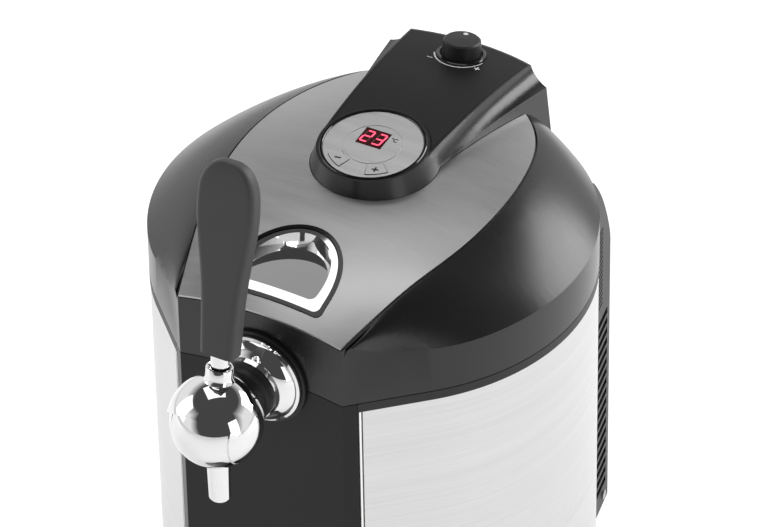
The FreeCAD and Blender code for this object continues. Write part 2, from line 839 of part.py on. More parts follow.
def power_board():
    """The power and control board on edge in the foot of the housing, with its larger parts."""
    body = new_body("power_board")
    back = "(body_radius + 5)"
    bottom = f"({HOUSING_BOTTOM} + wall)"
    board = profile(body, rectangle("-52", "52", bottom, f"{bottom} + 50"), "XZ_Plane", f"-{back}")
    pad(body, board, "1.6")
    for x_low, x_high, z_low, z_high, depth in (("-48", "-20", "3", "22", "20"), ("-12", "10", "3", "19", "16"),
                                                ("14", "46", "3", "22", "12")):
        part = profile(body, rectangle(x_low, x_high, f"{bottom} + {z_low}", f"{bottom} + {z_high}"),
                       "XZ_Plane", f"-{back} - {depth}")
        pad(body, part, depth)
    cans = circles(body, [("-38", f"{bottom} + 36", "7"), ("38", f"{bottom} + 36", "6")], "XZ_Plane",
                   f"-{back} - 18")
    pad(body, cans, "18")
    return finish(body, "power_board")


# Hinge and latch

HINGE_HEIGHT = "(seam_height - hinge_drop)"
LUG_LOW = 38.0
LUG_HIGH = 45.0


def hinge_brackets():
    """Two lugs behind the rim that hold the ends of the hinge pin."""
    lugs = []
    for low in (f"{LUG_LOW}", f"-{LUG_HIGH}"):
        body = new_body("hinge_bracket")
        front = f"sqrt((body_radius - steel_inset) ^ 2 - {LUG_LOW} ^ 2) + fit_gap"
        lug = [
            (front, f"{HINGE_HEIGHT} - 22"),
            (f"{front} + 3", f"{HINGE_HEIGHT} - 22"),
            ("(body_radius + hinge_offset) + 4.8", f"{HINGE_HEIGHT} - 6"),
            ("(body_radius + hinge_offset) + 4.8", f"{HINGE_HEIGHT} + 5.5"),
            (front, f"{HINGE_HEIGHT} + 1"),
        ]
        pad(body, profile(body, lug, "YZ_Plane", low), f"{LUG_HIGH - LUG_LOW}")
        hole = circles(body, [("(body_radius + hinge_offset)", HINGE_HEIGHT, "pin_radius")], "YZ_Plane", low)
        pocket(body, hole, "body_radius", middle=True)
        lugs.append(body)
    return finish(group(*lugs), "hinge_brackets")


def hinge_pin():
    pin = cylinder("pin_radius", f"{2 * LUG_HIGH + 1}", f"-{LUG_HIGH + 0.5}", "(body_radius + hinge_offset)", HINGE_HEIGHT, "x")
    return finish(pin, "hinge_pin", "(body_radius + hinge_offset)")


def latch_catches():
    """Two keepers on the rim, each a post with a lip that the latch hooks reach under."""
    posts = []
    for low in ("37", "-43"):
        body = new_body("latch_catch")
        keeper = [
            ("-body_radius + 9", "seam_height"),
            ("-body_radius + 12", "seam_height"),
            ("-body_radius + 12", "seam_height + 5"),
            ("-body_radius + 15", "seam_height + 5"),
            ("-body_radius + 15", "seam_height + 6.5"),
            ("-body_radius + 9", "seam_height + 6.5"),
        ]
        pad(body, profile(body, keeper, "YZ_Plane", low), "6")
        posts.append(body)
    return finish(group(*posts), "latch_catches")


def latch_bar():
    """The yoke under the release button: a cross bar with a hooked leg at each end."""
    body = new_body("latch_bar")
    bar = profile(body, rectangle("-44", "44", "-body_radius + 18.5", "-body_radius + 22"), "XY_Plane",
                  "seam_height + 23.8")
    pad(body, bar, "4")
    for low in ("37", "-43"):
        leg = [
            ("-body_radius + 18.5", "seam_height + 2.5"),
            ("-body_radius + 22", "seam_height + 2.5"),
            ("-body_radius + 22", "seam_height + 26"),
            ("-body_radius + 18.5", "seam_height + 26"),
            ("-body_radius + 18.5", "seam_height + 4.5"),
            ("-body_radius + 15.4", "seam_height + 4.5"),
            ("-body_radius + 15.4", "seam_height + 2.5"),
        ]
        pad(body, profile(body, leg, "YZ_Plane", low), "6")
    return finish(body, "latch_bar")


# Tap

def turned_about_tap(name, section):
    """A piece turned about the level axis of the tap, from points of reach and radius."""
    body = new_body(name)
    points = [(f"-({point[0]})", *point[1:]) for point in section]
    revolve(body, profile(body, points, "YZ_Plane"), "H_Axis")
    bind(body, "Placement.Base.z", TAP_HEIGHT)
    return body


def collar_ring():
    """The black ring between the bell and the front."""
    start = "body_radius + fit_gap"
    section = [
        (start, "collar_radius - 5"),
        (start, "collar_radius + 2.4"),
        (f"{start} + 2", "collar_radius + 2.4"),
        (f"{start} + 2", "collar_radius - 5"),
    ]
    return finish(turned_about_tap("collar_ring", section), "collar_ring")


def tap_collar():
    """The chrome bell that covers the hole round the shank."""
    start = "body_radius + fit_gap + 2"
    section = [
        (start, "shank_radius + fit_gap"),
        (start, "collar_radius - 1"),
        (f"{start} + 0.8", "collar_radius"),
        (f"{start} + 2.4", "collar_radius"),
        (f"{start} + 3", "collar_radius - 1.6"),
        (f"{start} + 4", "collar_radius - 1.8", "16", 1),
        ("body_radius + collar_depth - 3", "ring_radius + 1.6"),
        ("body_radius + collar_depth", "ring_radius + 1"),
        ("body_radius + collar_depth", "shank_radius + fit_gap"),
    ]
    return finish(turned_about_tap("tap_collar", section), "tap_collar")


def coupling_ring():
    """The black threaded ring that draws the ball tap against the bell."""
    start = "(body_radius + collar_depth)"
    section = [
        (start, "shank_radius + fit_gap"),
        (start, "ring_radius"),
        (f"{start} + 3.4", "ring_radius"),
        (f"{start} + 3.8", "ring_radius - 0.6"),
        (f"{start} + 4.6", "ring_radius - 0.6"),
        (f"{start} + 5", "ring_radius"),
        (f"{start} + 8", "ring_radius - 0.4"),
        (f"{start} + 8", "shank_radius + fit_gap"),
    ]
    return finish(turned_about_tap("coupling_ring", section), "coupling_ring")


def tap_shank():
    """The bored shank, from the ball through the front to the barb for the beer hose."""
    end = "(body_radius + collar_depth + 8)"
    section = [
        (end, "2.5"),
        (end, "shank_radius"),
        ("body_radius - 22", "shank_radius"),
        ("body_radius - 22", "3.2"),
        ("body_radius - 30", "3.2"),
        ("body_radius - 30", "2.6"),
        ("body_radius - 43", "2.6"),
        ("body_radius - 43", "1.6"),
        ("body_radius - 22", "1.6"),
    ]
    return finish(turned_about_tap("tap_shank", section), "tap_shank")


def shank_nut():
    """The six-sided nut that clamps the shank behind the front panel."""
    body = new_body("shank_nut")
    across = "shank_radius + 5"
    corners = []
    for step in range(6):
        corners.append((f"({across}) * cos({60 * step + 30})", f"({across}) * sin({60 * step + 30})"))
    pad(body, profile(body, corners, "XZ_Plane", "body_radius - wall - fit_gap - 7"), "7")
    pocket(body, circles(body, [("0", "0", "shank_radius + pin_fit / 2")], "XZ_Plane", "body_radius"),
           "body_radius")
    bind(body, "Placement.Base.z", TAP_HEIGHT)
    return finish(body, "shank_nut")


def ball_centre():
    return Vector(0, -value("tap_reach"), value(TAP_HEIGHT))


def tap_body():
    """The hollow ball of the tap with its rear neck and its downward spout."""
    centre = ball_centre()
    radius = value("ball_radius")
    start = -value("body_radius + collar_depth + 8")
    ball = Part.makeSphere(radius, centre)
    neck = Part.makeCylinder(15, start - centre.y, centre, Vector(0, 1, 0))
    spout_top = value("spout_radius + 0.6")
    spout = Part.makeCone(value("spout_radius - 0.3"), spout_top, value("spout_drop - 10"),
                          centre - Vector(0, 0, value("spout_drop")), Vector(0, 0, 1))
    foot = Part.makeCylinder(value("spout_radius - 1.2"), 1.2,
                             centre - Vector(0, 0, value("spout_drop + 1.2")), Vector(0, 0, 1))
    whole = ball.multiFuse([neck, spout, foot])
    down = Part.makeCylinder(value("spout_radius - 2.2"), value("spout_drop + 10"),
                             centre - Vector(0, 0, value("spout_drop + 10")), Vector(0, 0, 1))
    along = Part.makeCylinder(5.2, start - centre.y + 14, centre - Vector(0, 14, 0), Vector(0, 1, 0))
    behind = Part.makeBox(100, 50, 100, Vector(-50, start, centre.z - 50))
    whole = whole.cut(down).cut(along).cut(behind)
    across = Vector(1, 0, 0)
    for middle in (19.0, -19.0):
        start = centre + Vector(middle - 0.4, 0, 0)
        floor = Part.makeCylinder(math.sqrt(radius ** 2 - 19.0 ** 2) - 0.5, 0.8, start, across)
        whole = whole.cut(Part.makeCylinder(radius, 0.8, start, across).cut(floor))
    return feature("tap_body", whole)


def valve_plunger():
    """The piston inside the ball that the lever draws forward to let the beer down."""
    centre = ball_centre()
    rod = Part.makeCylinder(5.0, 16, centre - Vector(0, 2, 0), Vector(0, 1, 0))
    along = Vector(0, 1, 0)
    low = centre + Vector(0, 8, 0)
    groove = Part.makeCylinder(6, 2, low, along).cut(Part.makeCylinder(4, 2, low, along))
    return feature("valve_plunger", rod.cut(groove))


def tap_cap():
    """The chrome cap over the ball: a piece of a hollow sphere with a waved edge, and a neck."""
    centre = ball_centre()
    radius = value("ball_radius + fit_gap")
    outer = Part.makeSphere(radius + value("cap_wall"), centre)
    arch = 36.0
    front_rise = 17.3
    below = Part.makeCylinder(arch, 200, centre + Vector(0, -100, front_rise - arch), Vector(0, 1, 0))
    rear = Part.makeBox(200, 200, 200, Vector(-100, 0, -200))
    rear = set_at(rear, math.degrees(math.atan(0.6)), centre + Vector(0, -12, 9))
    neck = lean_back(turned_neck())
    whole = outer.cut(below).cut(rear.common(Part.makeBox(400, 400, 400, Vector(-200, centre.y - 12, centre.z - 200))))
    whole = whole.fuse(neck).cut(Part.makeSphere(radius, centre))
    hole = lean_back(Part.makeCylinder(value("rod_radius"), 60))
    return feature("tap_cap", whole.cut(hole))


def turned_neck():
    """The neck of the cap: a cylinder that sweeps out at its foot, upright about the origin."""
    neck = value("neck_radius")
    rise = value("neck_rise")
    foot = value("ball_radius") - 3
    low = math.sqrt(value("ball_radius") ** 2 - (neck + 7) ** 2)
    wire = Part.Wire([
        Part.LineSegment(Vector(0, 0, foot - 4), Vector(neck + 7, 0, low - 1)).toShape(),
        Part.LineSegment(Vector(neck + 7, 0, low - 1), Vector(neck + 7, 0, low + 1.6)).toShape(),
        Part.Arc(Vector(neck + 7, 0, low + 1.6), Vector(neck + 1.9, 0, low + 3.8),
                 Vector(neck, 0, low + 8.5)).toShape(),
        Part.LineSegment(Vector(neck, 0, low + 8.5), Vector(neck, 0, rise - 0.6)).toShape(),
        Part.LineSegment(Vector(neck, 0, rise - 0.6), Vector(neck - 0.6, 0, rise)).toShape(),
        Part.LineSegment(Vector(neck - 0.6, 0, rise), Vector(neck - 1.4, 0, rise)).toShape(),
        Part.LineSegment(Vector(neck - 1.4, 0, rise), Vector(neck - 1.4, 0, rise - 4)).toShape(),
        Part.LineSegment(Vector(neck - 1.4, 0, rise - 4), Vector(0, 0, rise - 4)).toShape(),
        Part.LineSegment(Vector(0, 0, rise - 4), Vector(0, 0, foot - 4)).toShape(),
    ])
    return Part.Face(wire).revolve(Vector(0, 0, 0), Vector(0, 0, 1), 360)


def lean_back(shape):
    """Set an upright piece of the lever on the ball, leaning back as far as the handle does."""
    return set_at(shape, -value("handle_lean"), ball_centre())


def lever_rod():
    start = value("ball_radius + fit_gap")
    rod = Part.makeCylinder(value("rod_radius"), value("handle_start") - start, Vector(0, 0, start))
    return feature("lever_rod", lean_back(rod))


def rounded_section(width, depth, corner, height):
    """A rectangle with round corners, level at a height."""
    x = width / 2
    y = depth / 2
    c = corner
    s = corner * (1 - math.sqrt(0.5))
    edges = []
    for sx, sy in ((1, -1), (1, 1), (-1, 1), (-1, -1)):
        swap = sx * sy > 0
        first = Vector(sx * (x if swap else x - c), sy * (y - c if swap else y), height)
        last = Vector(sx * (x - c if swap else x), sy * (y if swap else y - c), height)
        edges.append((first, Vector(sx * (x - s), sy * (y - s), height), last))
    parts = []
    for index, (first, middle, last) in enumerate(edges):
        parts.append(Part.Arc(first, middle, last).toShape())
        parts.append(Part.LineSegment(last, edges[(index + 1) % 4][0]).toShape())
    return Part.Wire(parts)


HANDLE_SECTIONS = (
    (0.0, 0.58, 1.08),
    (0.06, 0.60, 1.10),
    (0.28, 0.67, 1.05),
    (0.52, 0.84, 1.00),
    (0.72, 0.98, 0.97),
    (0.84, 0.97, 0.92),
    (0.94, 0.78, 0.80),
    (0.985, 0.50, 0.62),
    (1.0, 0.22, 0.40),
)


def tap_handle():
    """The soft paddle: broad near its top, narrow at the rod, with round edges all along."""
    width = value("handle_width")
    depth = value("handle_depth")
    length = value("handle_length")
    start = value("handle_start")
    wires = []
    for along, wide, deep in HANDLE_SECTIONS:
        corner = min(depth * deep * 0.3, width * wide * 0.3)
        wires.append(rounded_section(width * wide, depth * deep, corner, start + length * along))
    return feature("tap_handle", lean_back(Part.makeLoft(wires, True, False)))


def keg_coupler():
    """The head that plugs into the top of the keg, with a barb towards the tap."""
    body = new_body("keg_coupler")
    section = [
        ("0", "seam_height - 26"),
        ("10", "seam_height - 26"),
        ("10", "seam_height - 20"),
        ("21", "seam_height - 20"),
        ("21", "seam_height - 8"),
        ("14", "seam_height - 4"),
        ("14", "seam_height + 14"),
        ("9", "seam_height + 18"),
        ("0", "seam_height + 18"),
    ]
    revolve(body, profile(body, section, "XZ_Plane"))
    barb = circles(body, [("0", "seam_height + 7", "2.6")], "XZ_Plane", "0")
    pad(body, barb, "30")
    return finish(body, "keg_coupler")


def tube_path(points):
    """Straight runs joined by arcs as large as the runs allow; prints the radii."""
    edges = []
    start = points[0]
    for before, corner, after in zip(points, points[1:], points[2:]):
        back = (before - corner)
        on = (after - corner)
        shorter = min(back.Length, on.Length)
        turn = math.pi - back.getAngle(on)
        reach = 0.45 * shorter
        print(f"hose arc radius {reach / math.tan(turn / 2):.1f} mm")
        first = corner + back.normalize() * reach
        last = corner + on.normalize() * reach
        inward = (back + on).normalize()
        radius = reach / math.tan(turn / 2)
        middle = corner + inward * (math.hypot(radius, reach) - radius)
        edges.append(Part.LineSegment(start, first).toShape())
        edges.append(Part.Arc(first, middle, last).toShape())
        start = last
    edges.append(Part.LineSegment(start, points[-1]).toShape())
    return Part.Wire(edges)


def hose(points, outer, inner):
    """A tube of round section along a route."""
    path = tube_path(points)
    along = (points[1] - points[0]).normalize()
    solids = []
    for radius in (outer, inner):
        ring = Part.Wire(Part.Circle(points[0], along, radius).toShape())
        solids.append(path.makePipeShell([ring], True, True))
    return solids[0].cut(solids[1])


def beer_hose():
    """The short hose from the coupler to the shank, pushed over a barb at each end."""
    tap = value(TAP_HEIGHT)
    coupler = value("seam_height + 7")
    front = -value("body_radius - 30.3")
    points = [
        Vector(0, front, tap),
        Vector(0, front + 26, tap),
        Vector(0, front + 52, coupler),
        Vector(0, -14.3, coupler),
    ]
    return feature("beer_hose", hose(points, 4.2, 2.7))


# Lid surfaces

STATION_RADIUS = 135.0
STATION_CROWN = 70.0

# From beyond the front corner round to the middle of the rear: across and along at the edge of the
# plate, the rise of the shoulder there, then across, along and rise where the shoulder meets the band.
STATIONS = (
    (51.5, -148.0, 33.0, 58.0, -152.0, 33.0),
    (61.5, -116.0, 46.5, 68.9, -121.1, 35.0),
    (72.0, -82.0, 57.0, 97.0, -93.9, 31.0),
    (82.0, -42.0, 61.0, 124.0, -53.4, 31.0),
    (86.0, -3.0, 63.0, 135.0, -2.0, 31.0),
    (80.5, 48.0, 62.0, 118.5, 64.7, 31.0),
    (69.5, 77.5, 60.5, 97.0, 93.9, 31.0),
    (52.0, 98.0, 60.0, 66.0, 117.8, 31.0),
    (30.0, 108.0, 60.0, 34.0, 130.6, 31.0),
    (0.0, 112.0, 60.0, 0.0, 135.0, 31.0),
)
SHOULDER_STEPS = (-0.3, 0.0, 0.25, 0.5, 0.75, 1.0, 1.25)

# From front to rear: along, the rise of the plate's crown, half its width and the rise of its edge.
PLATE_ROWS = (
    (-148.0, 44.0, 51.5, 35.0),
    (-135.0, 49.0, 55.8, 42.0),
    (-121.0, 54.5, 60.0, 46.8),
    (-100.0, 60.0, 66.5, 53.5),
    (-82.0, 63.0, 72.0, 58.0),
    (-42.0, 68.0, 82.0, 61.5),
    (0.0, 70.0, 86.0, 63.6),
    (48.0, 70.0, 80.5, 62.3),
    (78.0, 68.5, 69.5, 60.4),
    (98.0, 67.0, 52.0, 61.0),
    (130.0, 65.0, 45.0, 60.0),
)
PLATE_STEPS = (-1.2, -0.6, 0.0, 0.6, 1.2)


def across_scale():
    return value("body_radius") / STATION_RADIUS


def rise_scale():
    return value("plate_crown_rise") / STATION_CROWN


def seam():
    return value("seam_height")


def under(grid):
    """Everything below a smooth surface through a grid of points."""
    surface = Part.BSplineSurface()
    surface.interpolate(grid)
    solid = surface.toShape().extrude(Vector(0, 0, -150))
    if solid.Volume < 0:
        solid.reverse()
    return solid


def under_shoulder(drop):
    """Everything below the shoulder, which runs round the plate from corner to corner."""
    wide = across_scale()
    high = rise_scale()
    bulge = value("shoulder_bulge")
    rows = []
    mirrored = [(1, station) for station in STATIONS] + [(-1, station) for station in STATIONS[-2::-1]]
    for side, (edge_x, edge_y, edge_z, band_x, band_y, band_z) in mirrored:
        row = []
        for step in SHOULDER_STEPS:
            x = side * (edge_x + (band_x - edge_x) * step) * wide
            y = (edge_y + (band_y - edge_y) * step) * wide
            z = edge_z * high + (band_z - edge_z * high) * step + 4 * bulge * step * (1 - step)
            row.append(Vector(x, y, seam() + z - drop))
        rows.append(row)
    return under(rows)


def under_plate(drop):
    """Everything below the crowned surface of the plate."""
    rows = []
    for along, crown, half, edge in PLATE_ROWS:
        row = []
        for step in PLATE_STEPS:
            z = (crown - (crown - edge) * step ** 2) * rise_scale()
            row.append(Vector(half * step * across_scale(), along * across_scale(), seam() + z - drop))
        rows.append(row)
    return under(rows)


def plan_prism(radius, low, high):
    """The plan of the cabinet as a block between two heights."""
    ratio = value("front_half_width / body_radius")
    turn = 2 * math.atan(ratio)
    left = Vector(-radius * ratio, -radius, low)
    right = Vector(radius * ratio, -radius, low)
    right_side = Vector(radius * math.sin(turn), -radius * math.cos(turn), low)
    left_side = Vector(-right_side.x, right_side.y, low)
    wire = Part.Wire([
        Part.LineSegment(left, right).toShape(),
        Part.LineSegment(right, right_side).toShape(),
        Part.Arc(right_side, Vector(0, radius, low), left_side).toShape(),
        Part.LineSegment(left_side, left).toShape(),
    ])
    return Part.Face(wire).extrude(Vector(0, 0, high - low))


def plate_prism(inset, low, high):
    """The outline of the plate, drawn in by a margin, as a block between two heights."""
    points = [Vector(station[0] * across_scale(), station[1] * across_scale(), low) for station in STATIONS]
    points += [Vector(-point.x, point.y, low) for point in points[-2::-1]]
    curve = Part.BSplineCurve()
    curve.interpolate(points)
    moved = []
    for point in points:
        along = curve.tangent(curve.parameter(point))[0]
        moved.append(point + Vector(-along.y, along.x, 0) * inset)
    edge = Part.BSplineCurve()
    edge.interpolate(moved)
    wire = Part.Wire([edge.toShape(), Part.LineSegment(moved[-1], moved[0]).toShape()])
    return Part.Face(wire).extrude(Vector(0, 0, high - low))


SPINE_START = 9.5
SPINE_RUN = 110.0


def spine_measures(along):
    """Half widths and rises of the ridge and of the top of the spine at one slice."""
    part = (along - SPINE_START) / SPINE_RUN
    front = value("spine_front_half_width")
    ridge_x = front + 1 + (value("spine_rear_half_width") - front - 1) * part
    panel_x = front + (value("panel_rear_half_width") - front) * part
    ridge_z = value("ridge_rise") + value("ridge_arch") * math.sin(math.pi * part)
    panel_z = value("spine_rise") - (along - value("spine_crest")) ** 2 / (2 * value("spine_curve"))
    return ridge_x, ridge_z, panel_x, panel_z


def spine_slice(along, inset, drop, floor):
    """One slice across the spine: upright walls, a hollow cheek each side and a flat top."""
    ridge_x, ridge_z, panel_x, panel_z = spine_measures(along)
    hollow = value("cove_depth") * (0.3 + 0.7 * min(max(along / SPINE_RUN, 0), 1))
    ridge = Vector(ridge_x - inset, along, seam() + ridge_z - drop)
    top = Vector(panel_x - inset, along, seam() + panel_z - drop)
    chord = (top - ridge).normalize()
    middle = (ridge + top) * 0.5 + Vector(-chord.z, 0, chord.x) * hollow
    foot = Vector(ridge.x, along, seam() + floor)

    def mirror(point):
        return Vector(-point.x, point.y, point.z)

    return Part.Wire([
        Part.LineSegment(mirror(foot), mirror(ridge)).toShape(),
        Part.Arc(mirror(ridge), mirror(middle), mirror(top)).toShape(),
        Part.LineSegment(mirror(top), top).toShape(),
        Part.Arc(top, middle, ridge).toShape(),
        Part.LineSegment(ridge, foot).toShape(),
        Part.LineSegment(foot, mirror(foot)).toShape(),
    ])


def rear_cone(inset):
    """The leaning back of the lid, which narrows upwards."""
    lean = 0.1327
    radius = value("body_radius") - inset
    base = radius + value("band_height") * lean
    return Part.makeCone(base, base - 100 * lean, 100, Vector(0, 0, seam()))


def spine_solid(inset, drop, start, floor):
    slices = []
    for index in range(5):
        slices.append(spine_slice(start + (132 - start) * index / 4, inset, drop, floor))
    return Part.makeLoft(slices, True, False).common(rear_cone(inset))


def panel_block(inset, drop):
    """A block below the top of the spine, as wide as its panel."""
    slices = []
    for index in range(5):
        along = 1.4 + (132 - 1.4) * index / 4
        _, _, panel_x, panel_z = spine_measures(along)
        half = panel_x - inset
        low = seam() + 60
        high = seam() + panel_z - drop
        slices.append(Part.makePolygon([
            Vector(-half, along, low), Vector(half, along, low), Vector(half, along, high),
            Vector(-half, along, high), Vector(-half, along, low),
        ]))
    return Part.makeLoft(slices, True, False)


DISPLAY_ALONG = "1.4"
DISPLAY_RISE = "seam_height + display_rise"


def at_display(shape):
    """Move a shape drawn about the middle of the display to its tilted place."""
    return set_at(shape, value("display_tilt"), Vector(0, value(DISPLAY_ALONG), value(DISPLAY_RISE)))


def nose(inset, top, depth):
    """The round nose of the lid, wider downwards, from a height over the display."""
    flare = value("nose_flare")
    high = value("nose_radius") - inset - flare * top
    cone = Part.makeCone(high + flare * (top - depth), high, top - depth, Vector(0, 0, depth))
    return at_display(cone)


KNOB_RISE = "(seam_height + spine_rise - (knob_centre - spine_crest) ^ 2 / (2 * spine_curve))"


def at_knob(shape):
    return set_at(shape, -value("knob_tilt"), Vector(0, value("knob_centre"), value(KNOB_RISE)))


def release_wire(margin, height):
    """The D of the lid release: half an ellipse behind, square with small corners in front."""
    half = value("button_half_width") + margin
    length = value("button_length") + margin
    centre = -value("button_centre")
    front = -value("button_front") - margin
    corner = 4.0
    slack = corner * (1 - math.sqrt(0.5))
    ellipse = Part.Ellipse(Vector(0, centre + length, height), Vector(-half, centre, height),
                           Vector(0, centre, height))
    arch = Part.ArcOfEllipse(ellipse, -math.pi / 2, math.pi / 2).toShape()
    right = Vector(half, centre, height)
    left = Vector(-half, centre, height)
    right_low = Vector(half, front + corner, height)
    right_front = Vector(half - corner, front, height)
    left_front = Vector(-half + corner, front, height)
    left_low = Vector(-half, front + corner, height)
    return Part.Wire(Part.sortEdges([
        arch,
        Part.LineSegment(left, left_low).toShape(),
        Part.Arc(left_low, Vector(-half + slack, front + slack, height), left_front).toShape(),
        Part.LineSegment(left_front, right_front).toShape(),
        Part.Arc(right_front, Vector(half - slack, front + slack, height), right_low).toShape(),
        Part.LineSegment(right_low, right).toShape(),
    ])[0])


def release_prism(margin, low, high):
    return Part.Face(release_wire(margin, seam() + low)).extrude(Vector(0, 0, high - low))


# Lid pieces

RELEASE_FLOOR = 28.5


def lid_knuckle(side):
    """A barrel of the hinge on its arm."""
    low = 28.5 if side > 0 else -37.0
    axis_y = value("(body_radius + hinge_offset)")
    axis_z = value(HINGE_HEIGHT)
    barrel = Part.makeCylinder(5, 8.5, Vector(low, axis_y, axis_z), Vector(1, 0, 0))
    arm = Part.makeBox(8.5, axis_y - 129, 3.4, Vector(low, 129, seam() + value("seam_gap")))
    return barrel.fuse(arm)


def lid_shell():
    """The moulded lid: band, shoulder, bed for the plate, spine and nose, all one hollow piece."""
    low = seam() + value("seam_gap")
    top = seam() + 130
    radius = value("body_radius")
    wall = value("lid_wall")
    bed = value("plate_thickness + fit_gap")
    shoulder = under_shoulder(0).common(plan_prism(radius, low, top)).cut(plate_prism(0, low - 5, top + 5))
    middle = under_plate(bed).common(plate_prism(0, low, top)).common(plan_prism(radius, low - 5, top + 5))
    spine = spine_solid(0, 0, 1.4, 31.5)
    outer = shoulder.multiFuse([middle, spine, nose(0, 0, -30)])
    hollow = [
        under_shoulder(wall + 2.5).common(plan_prism(radius - wall, low - 20, top)).cut(
            plate_prism(0, low - 30, top + 5)),
        under_plate(bed + wall).common(plate_prism(-1.2, low - 20, top)).common(
            plan_prism(radius - wall, low - 30, top + 5)),
        spine_solid(wall, wall + bed, 12, 34),
        nose(wall, -4, -45),
        at_display(Part.makeCylinder(value("disc_radius") - 1.9, 20, Vector(0, 0, -15))),
        at_display(Part.makeCylinder(value("disc_radius + ring_width") + 0.1, 20, Vector(0, 0, -2.6))),
        panel_block(1.3, -8).cut(panel_block(0, bed)).common(rear_cone(1.7)).cut(nose(0, 20, -40)),
        release_prism(value("button_gap + bezel_width") + 0.1, 20, 90),
        at_knob(Part.makeCylinder(3.4, 30, Vector(0, 0, -15))),
    ]
    shell = outer.cut(hollow)
    arch = value("(front_half_width ^ 2 + arch_rise ^ 2) / (2 * arch_rise)")
    cleared = [
        Part.makeCylinder(arch + value("seam_gap"), 20,
                          Vector(0, -radius - 5, seam() + value("arch_rise") - arch), Vector(0, 1, 0)),
        Part.makeCylinder(value("ring_radius + fit_gap"), 10, Vector(0, -radius - 5, value(TAP_HEIGHT)),
                          Vector(0, 1, 0)),
    ]
    shell = shell.cut(cleared).multiFuse([lid_knuckle(1), lid_knuckle(-1)])
    pin = value("pin_radius + pin_fit")
    bore = Part.makeCylinder(pin, 100, Vector(-50, value("(body_radius + hinge_offset)"), value(HINGE_HEIGHT)), Vector(1, 0, 0))
    return feature("lid_shell", shell.cut(bore))


def top_plate():
    """The thin crowned plate of brushed metal in the top of the lid."""
    groove = value("plate_groove")
    skin = under_plate(0).cut(under_plate(value("plate_thickness")))
    skin = skin.common(plate_prism(groove, seam() - 10, seam() + 130))
    skin = skin.common(plan_prism(value("body_radius") - 0.4, seam() - 10, seam() + 130))
    hole = release_prism(value("button_gap + bezel_width") + 0.1, 20, 90)
    behind = spine_solid(-0.3, -5, 1.4, 31.5)
    return feature("top_plate", skin.cut([hole, behind, nose(-0.3, 10, -40)]))


def spine_panel():
    """The matt panel let into the top of the spine, with a round hole for the knob's ring."""
    thick = value("plate_thickness")
    skin = panel_block(1.6, 0).cut(panel_block(0, thick)).common(rear_cone(2.0))
    ring = at_knob(Part.makeCylinder(15.5, 20, Vector(0, 0, -10)))
    return feature("spine_panel", skin.cut([nose(-0.3, 20, -40), ring]))


def lid_inner_cover():
    """The flat underside of the lid, raised over the coupler and over the hose to the tap."""
    body = new_body("lid_cover")
    pad(body, plan(body, "body_radius - lid_wall - fit_gap", "seam_height + 8"), "wall")
    dome = cylinder("coupler_room + wall", "20", z="seam_height + 8")
    tunnel = box("-17 - wall", "17 + wall", "-body_radius + lid_wall + fit_gap", "0", "seam_height + 8",
                 "seam_height + 23.5")
    whole = joined(body, dome, tunnel)
    tools = [
        cylinder("coupler_room", "20", z="seam_height + 8 - wall"),
        box("-17", "17", "-body_radius", "0", "seam_height", "seam_height + 21"),
    ]
    for low, high in (("36", "44"), ("-44", "-36")):
        tools.append(box(low, high, "-body_radius + 11", "-body_radius + 26.5", "seam_height", "seam_height + 12"))
    return finish(cut(whole, *tools), "lid_inner_cover")


def lid_gasket():
    """The soft seal under the lid, open in front where the shank passes."""
    body = new_body("lid_gasket")
    ring = circles(body, [("0", "0", "bore_radius + 10"), ("0", "0", "bore_radius + 4")], "XY_Plane",
                   "seam_height + 2.1")
    pad(body, ring, "5.9")
    gap = profile(body, rectangle("-20", "20", "-body_radius", "0"), "XY_Plane", "seam_height + 20")
    pocket(body, gap, "30")
    return finish(body, "lid_gasket")


def tilt(body, name, angle, along, rise):
    """Name a piece drawn about its own middle, tip it about X and set it in its place."""
    body.Placement.Rotation = FreeCAD.Rotation(Vector(1, 0, 0), value(angle))
    bind(body, "Placement.Base.z", rise)
    return finish(body, name, along)


def display_piece(body, name):
    return tilt(body, name, "display_tilt", DISPLAY_ALONG, DISPLAY_RISE)


def display_ring():
    """The glossy ring round the disc, a little proud, with its edges taken off."""
    body = new_body("display_ring")
    inner = "disc_radius + 0.15"
    outer = "disc_radius + ring_width"
    section = [
        (inner, "-2.5"),
        (outer, "-2.5"),
        (outer, "0.2"),
        (f"{outer} - 0.5", "0.7"),
        (f"{inner} + 0.5", "0.7"),
        (inner, "0.2"),
    ]
    revolve(body, profile(body, section, "XZ_Plane"))
    return display_piece(body, "display_ring")


def key_points(side, gap):
    """The outline of a key: a piece of a ring in front of the display window."""
    inner = f"(key_inner_radius + {gap})"
    outer = f"(key_outer_radius - {gap})"
    near = f"(key_angle - key_spread / 2 + {gap} * 2.5)"
    far = f"(key_angle + key_spread / 2 - {gap} * 2.5)"
    sign = "" if side > 0 else "-"
    points = [
        (f"{sign}{inner} * sin{near}", f"-{inner} * cos{near}"),
        (f"{sign}{outer} * sin{near}", f"-{outer} * cos{near}", outer, side),
        (f"{sign}{outer} * sin{far}", f"-{outer} * cos{far}"),
        (f"{sign}{inner} * sin{far}", f"-{inner} * cos{far}", inner, -side),
    ]
    return points


LED_LEFT = "(-2.6 - led_width / 2"
LED_FRONT = "(5.2 - led_depth / 2"


def led_rectangle(margin):
    return rectangle(f"{LED_LEFT} - {margin})", f"{LED_LEFT} + led_width + {margin})",
                     f"{LED_FRONT} - {margin})", f"{LED_FRONT} + led_depth + {margin})")


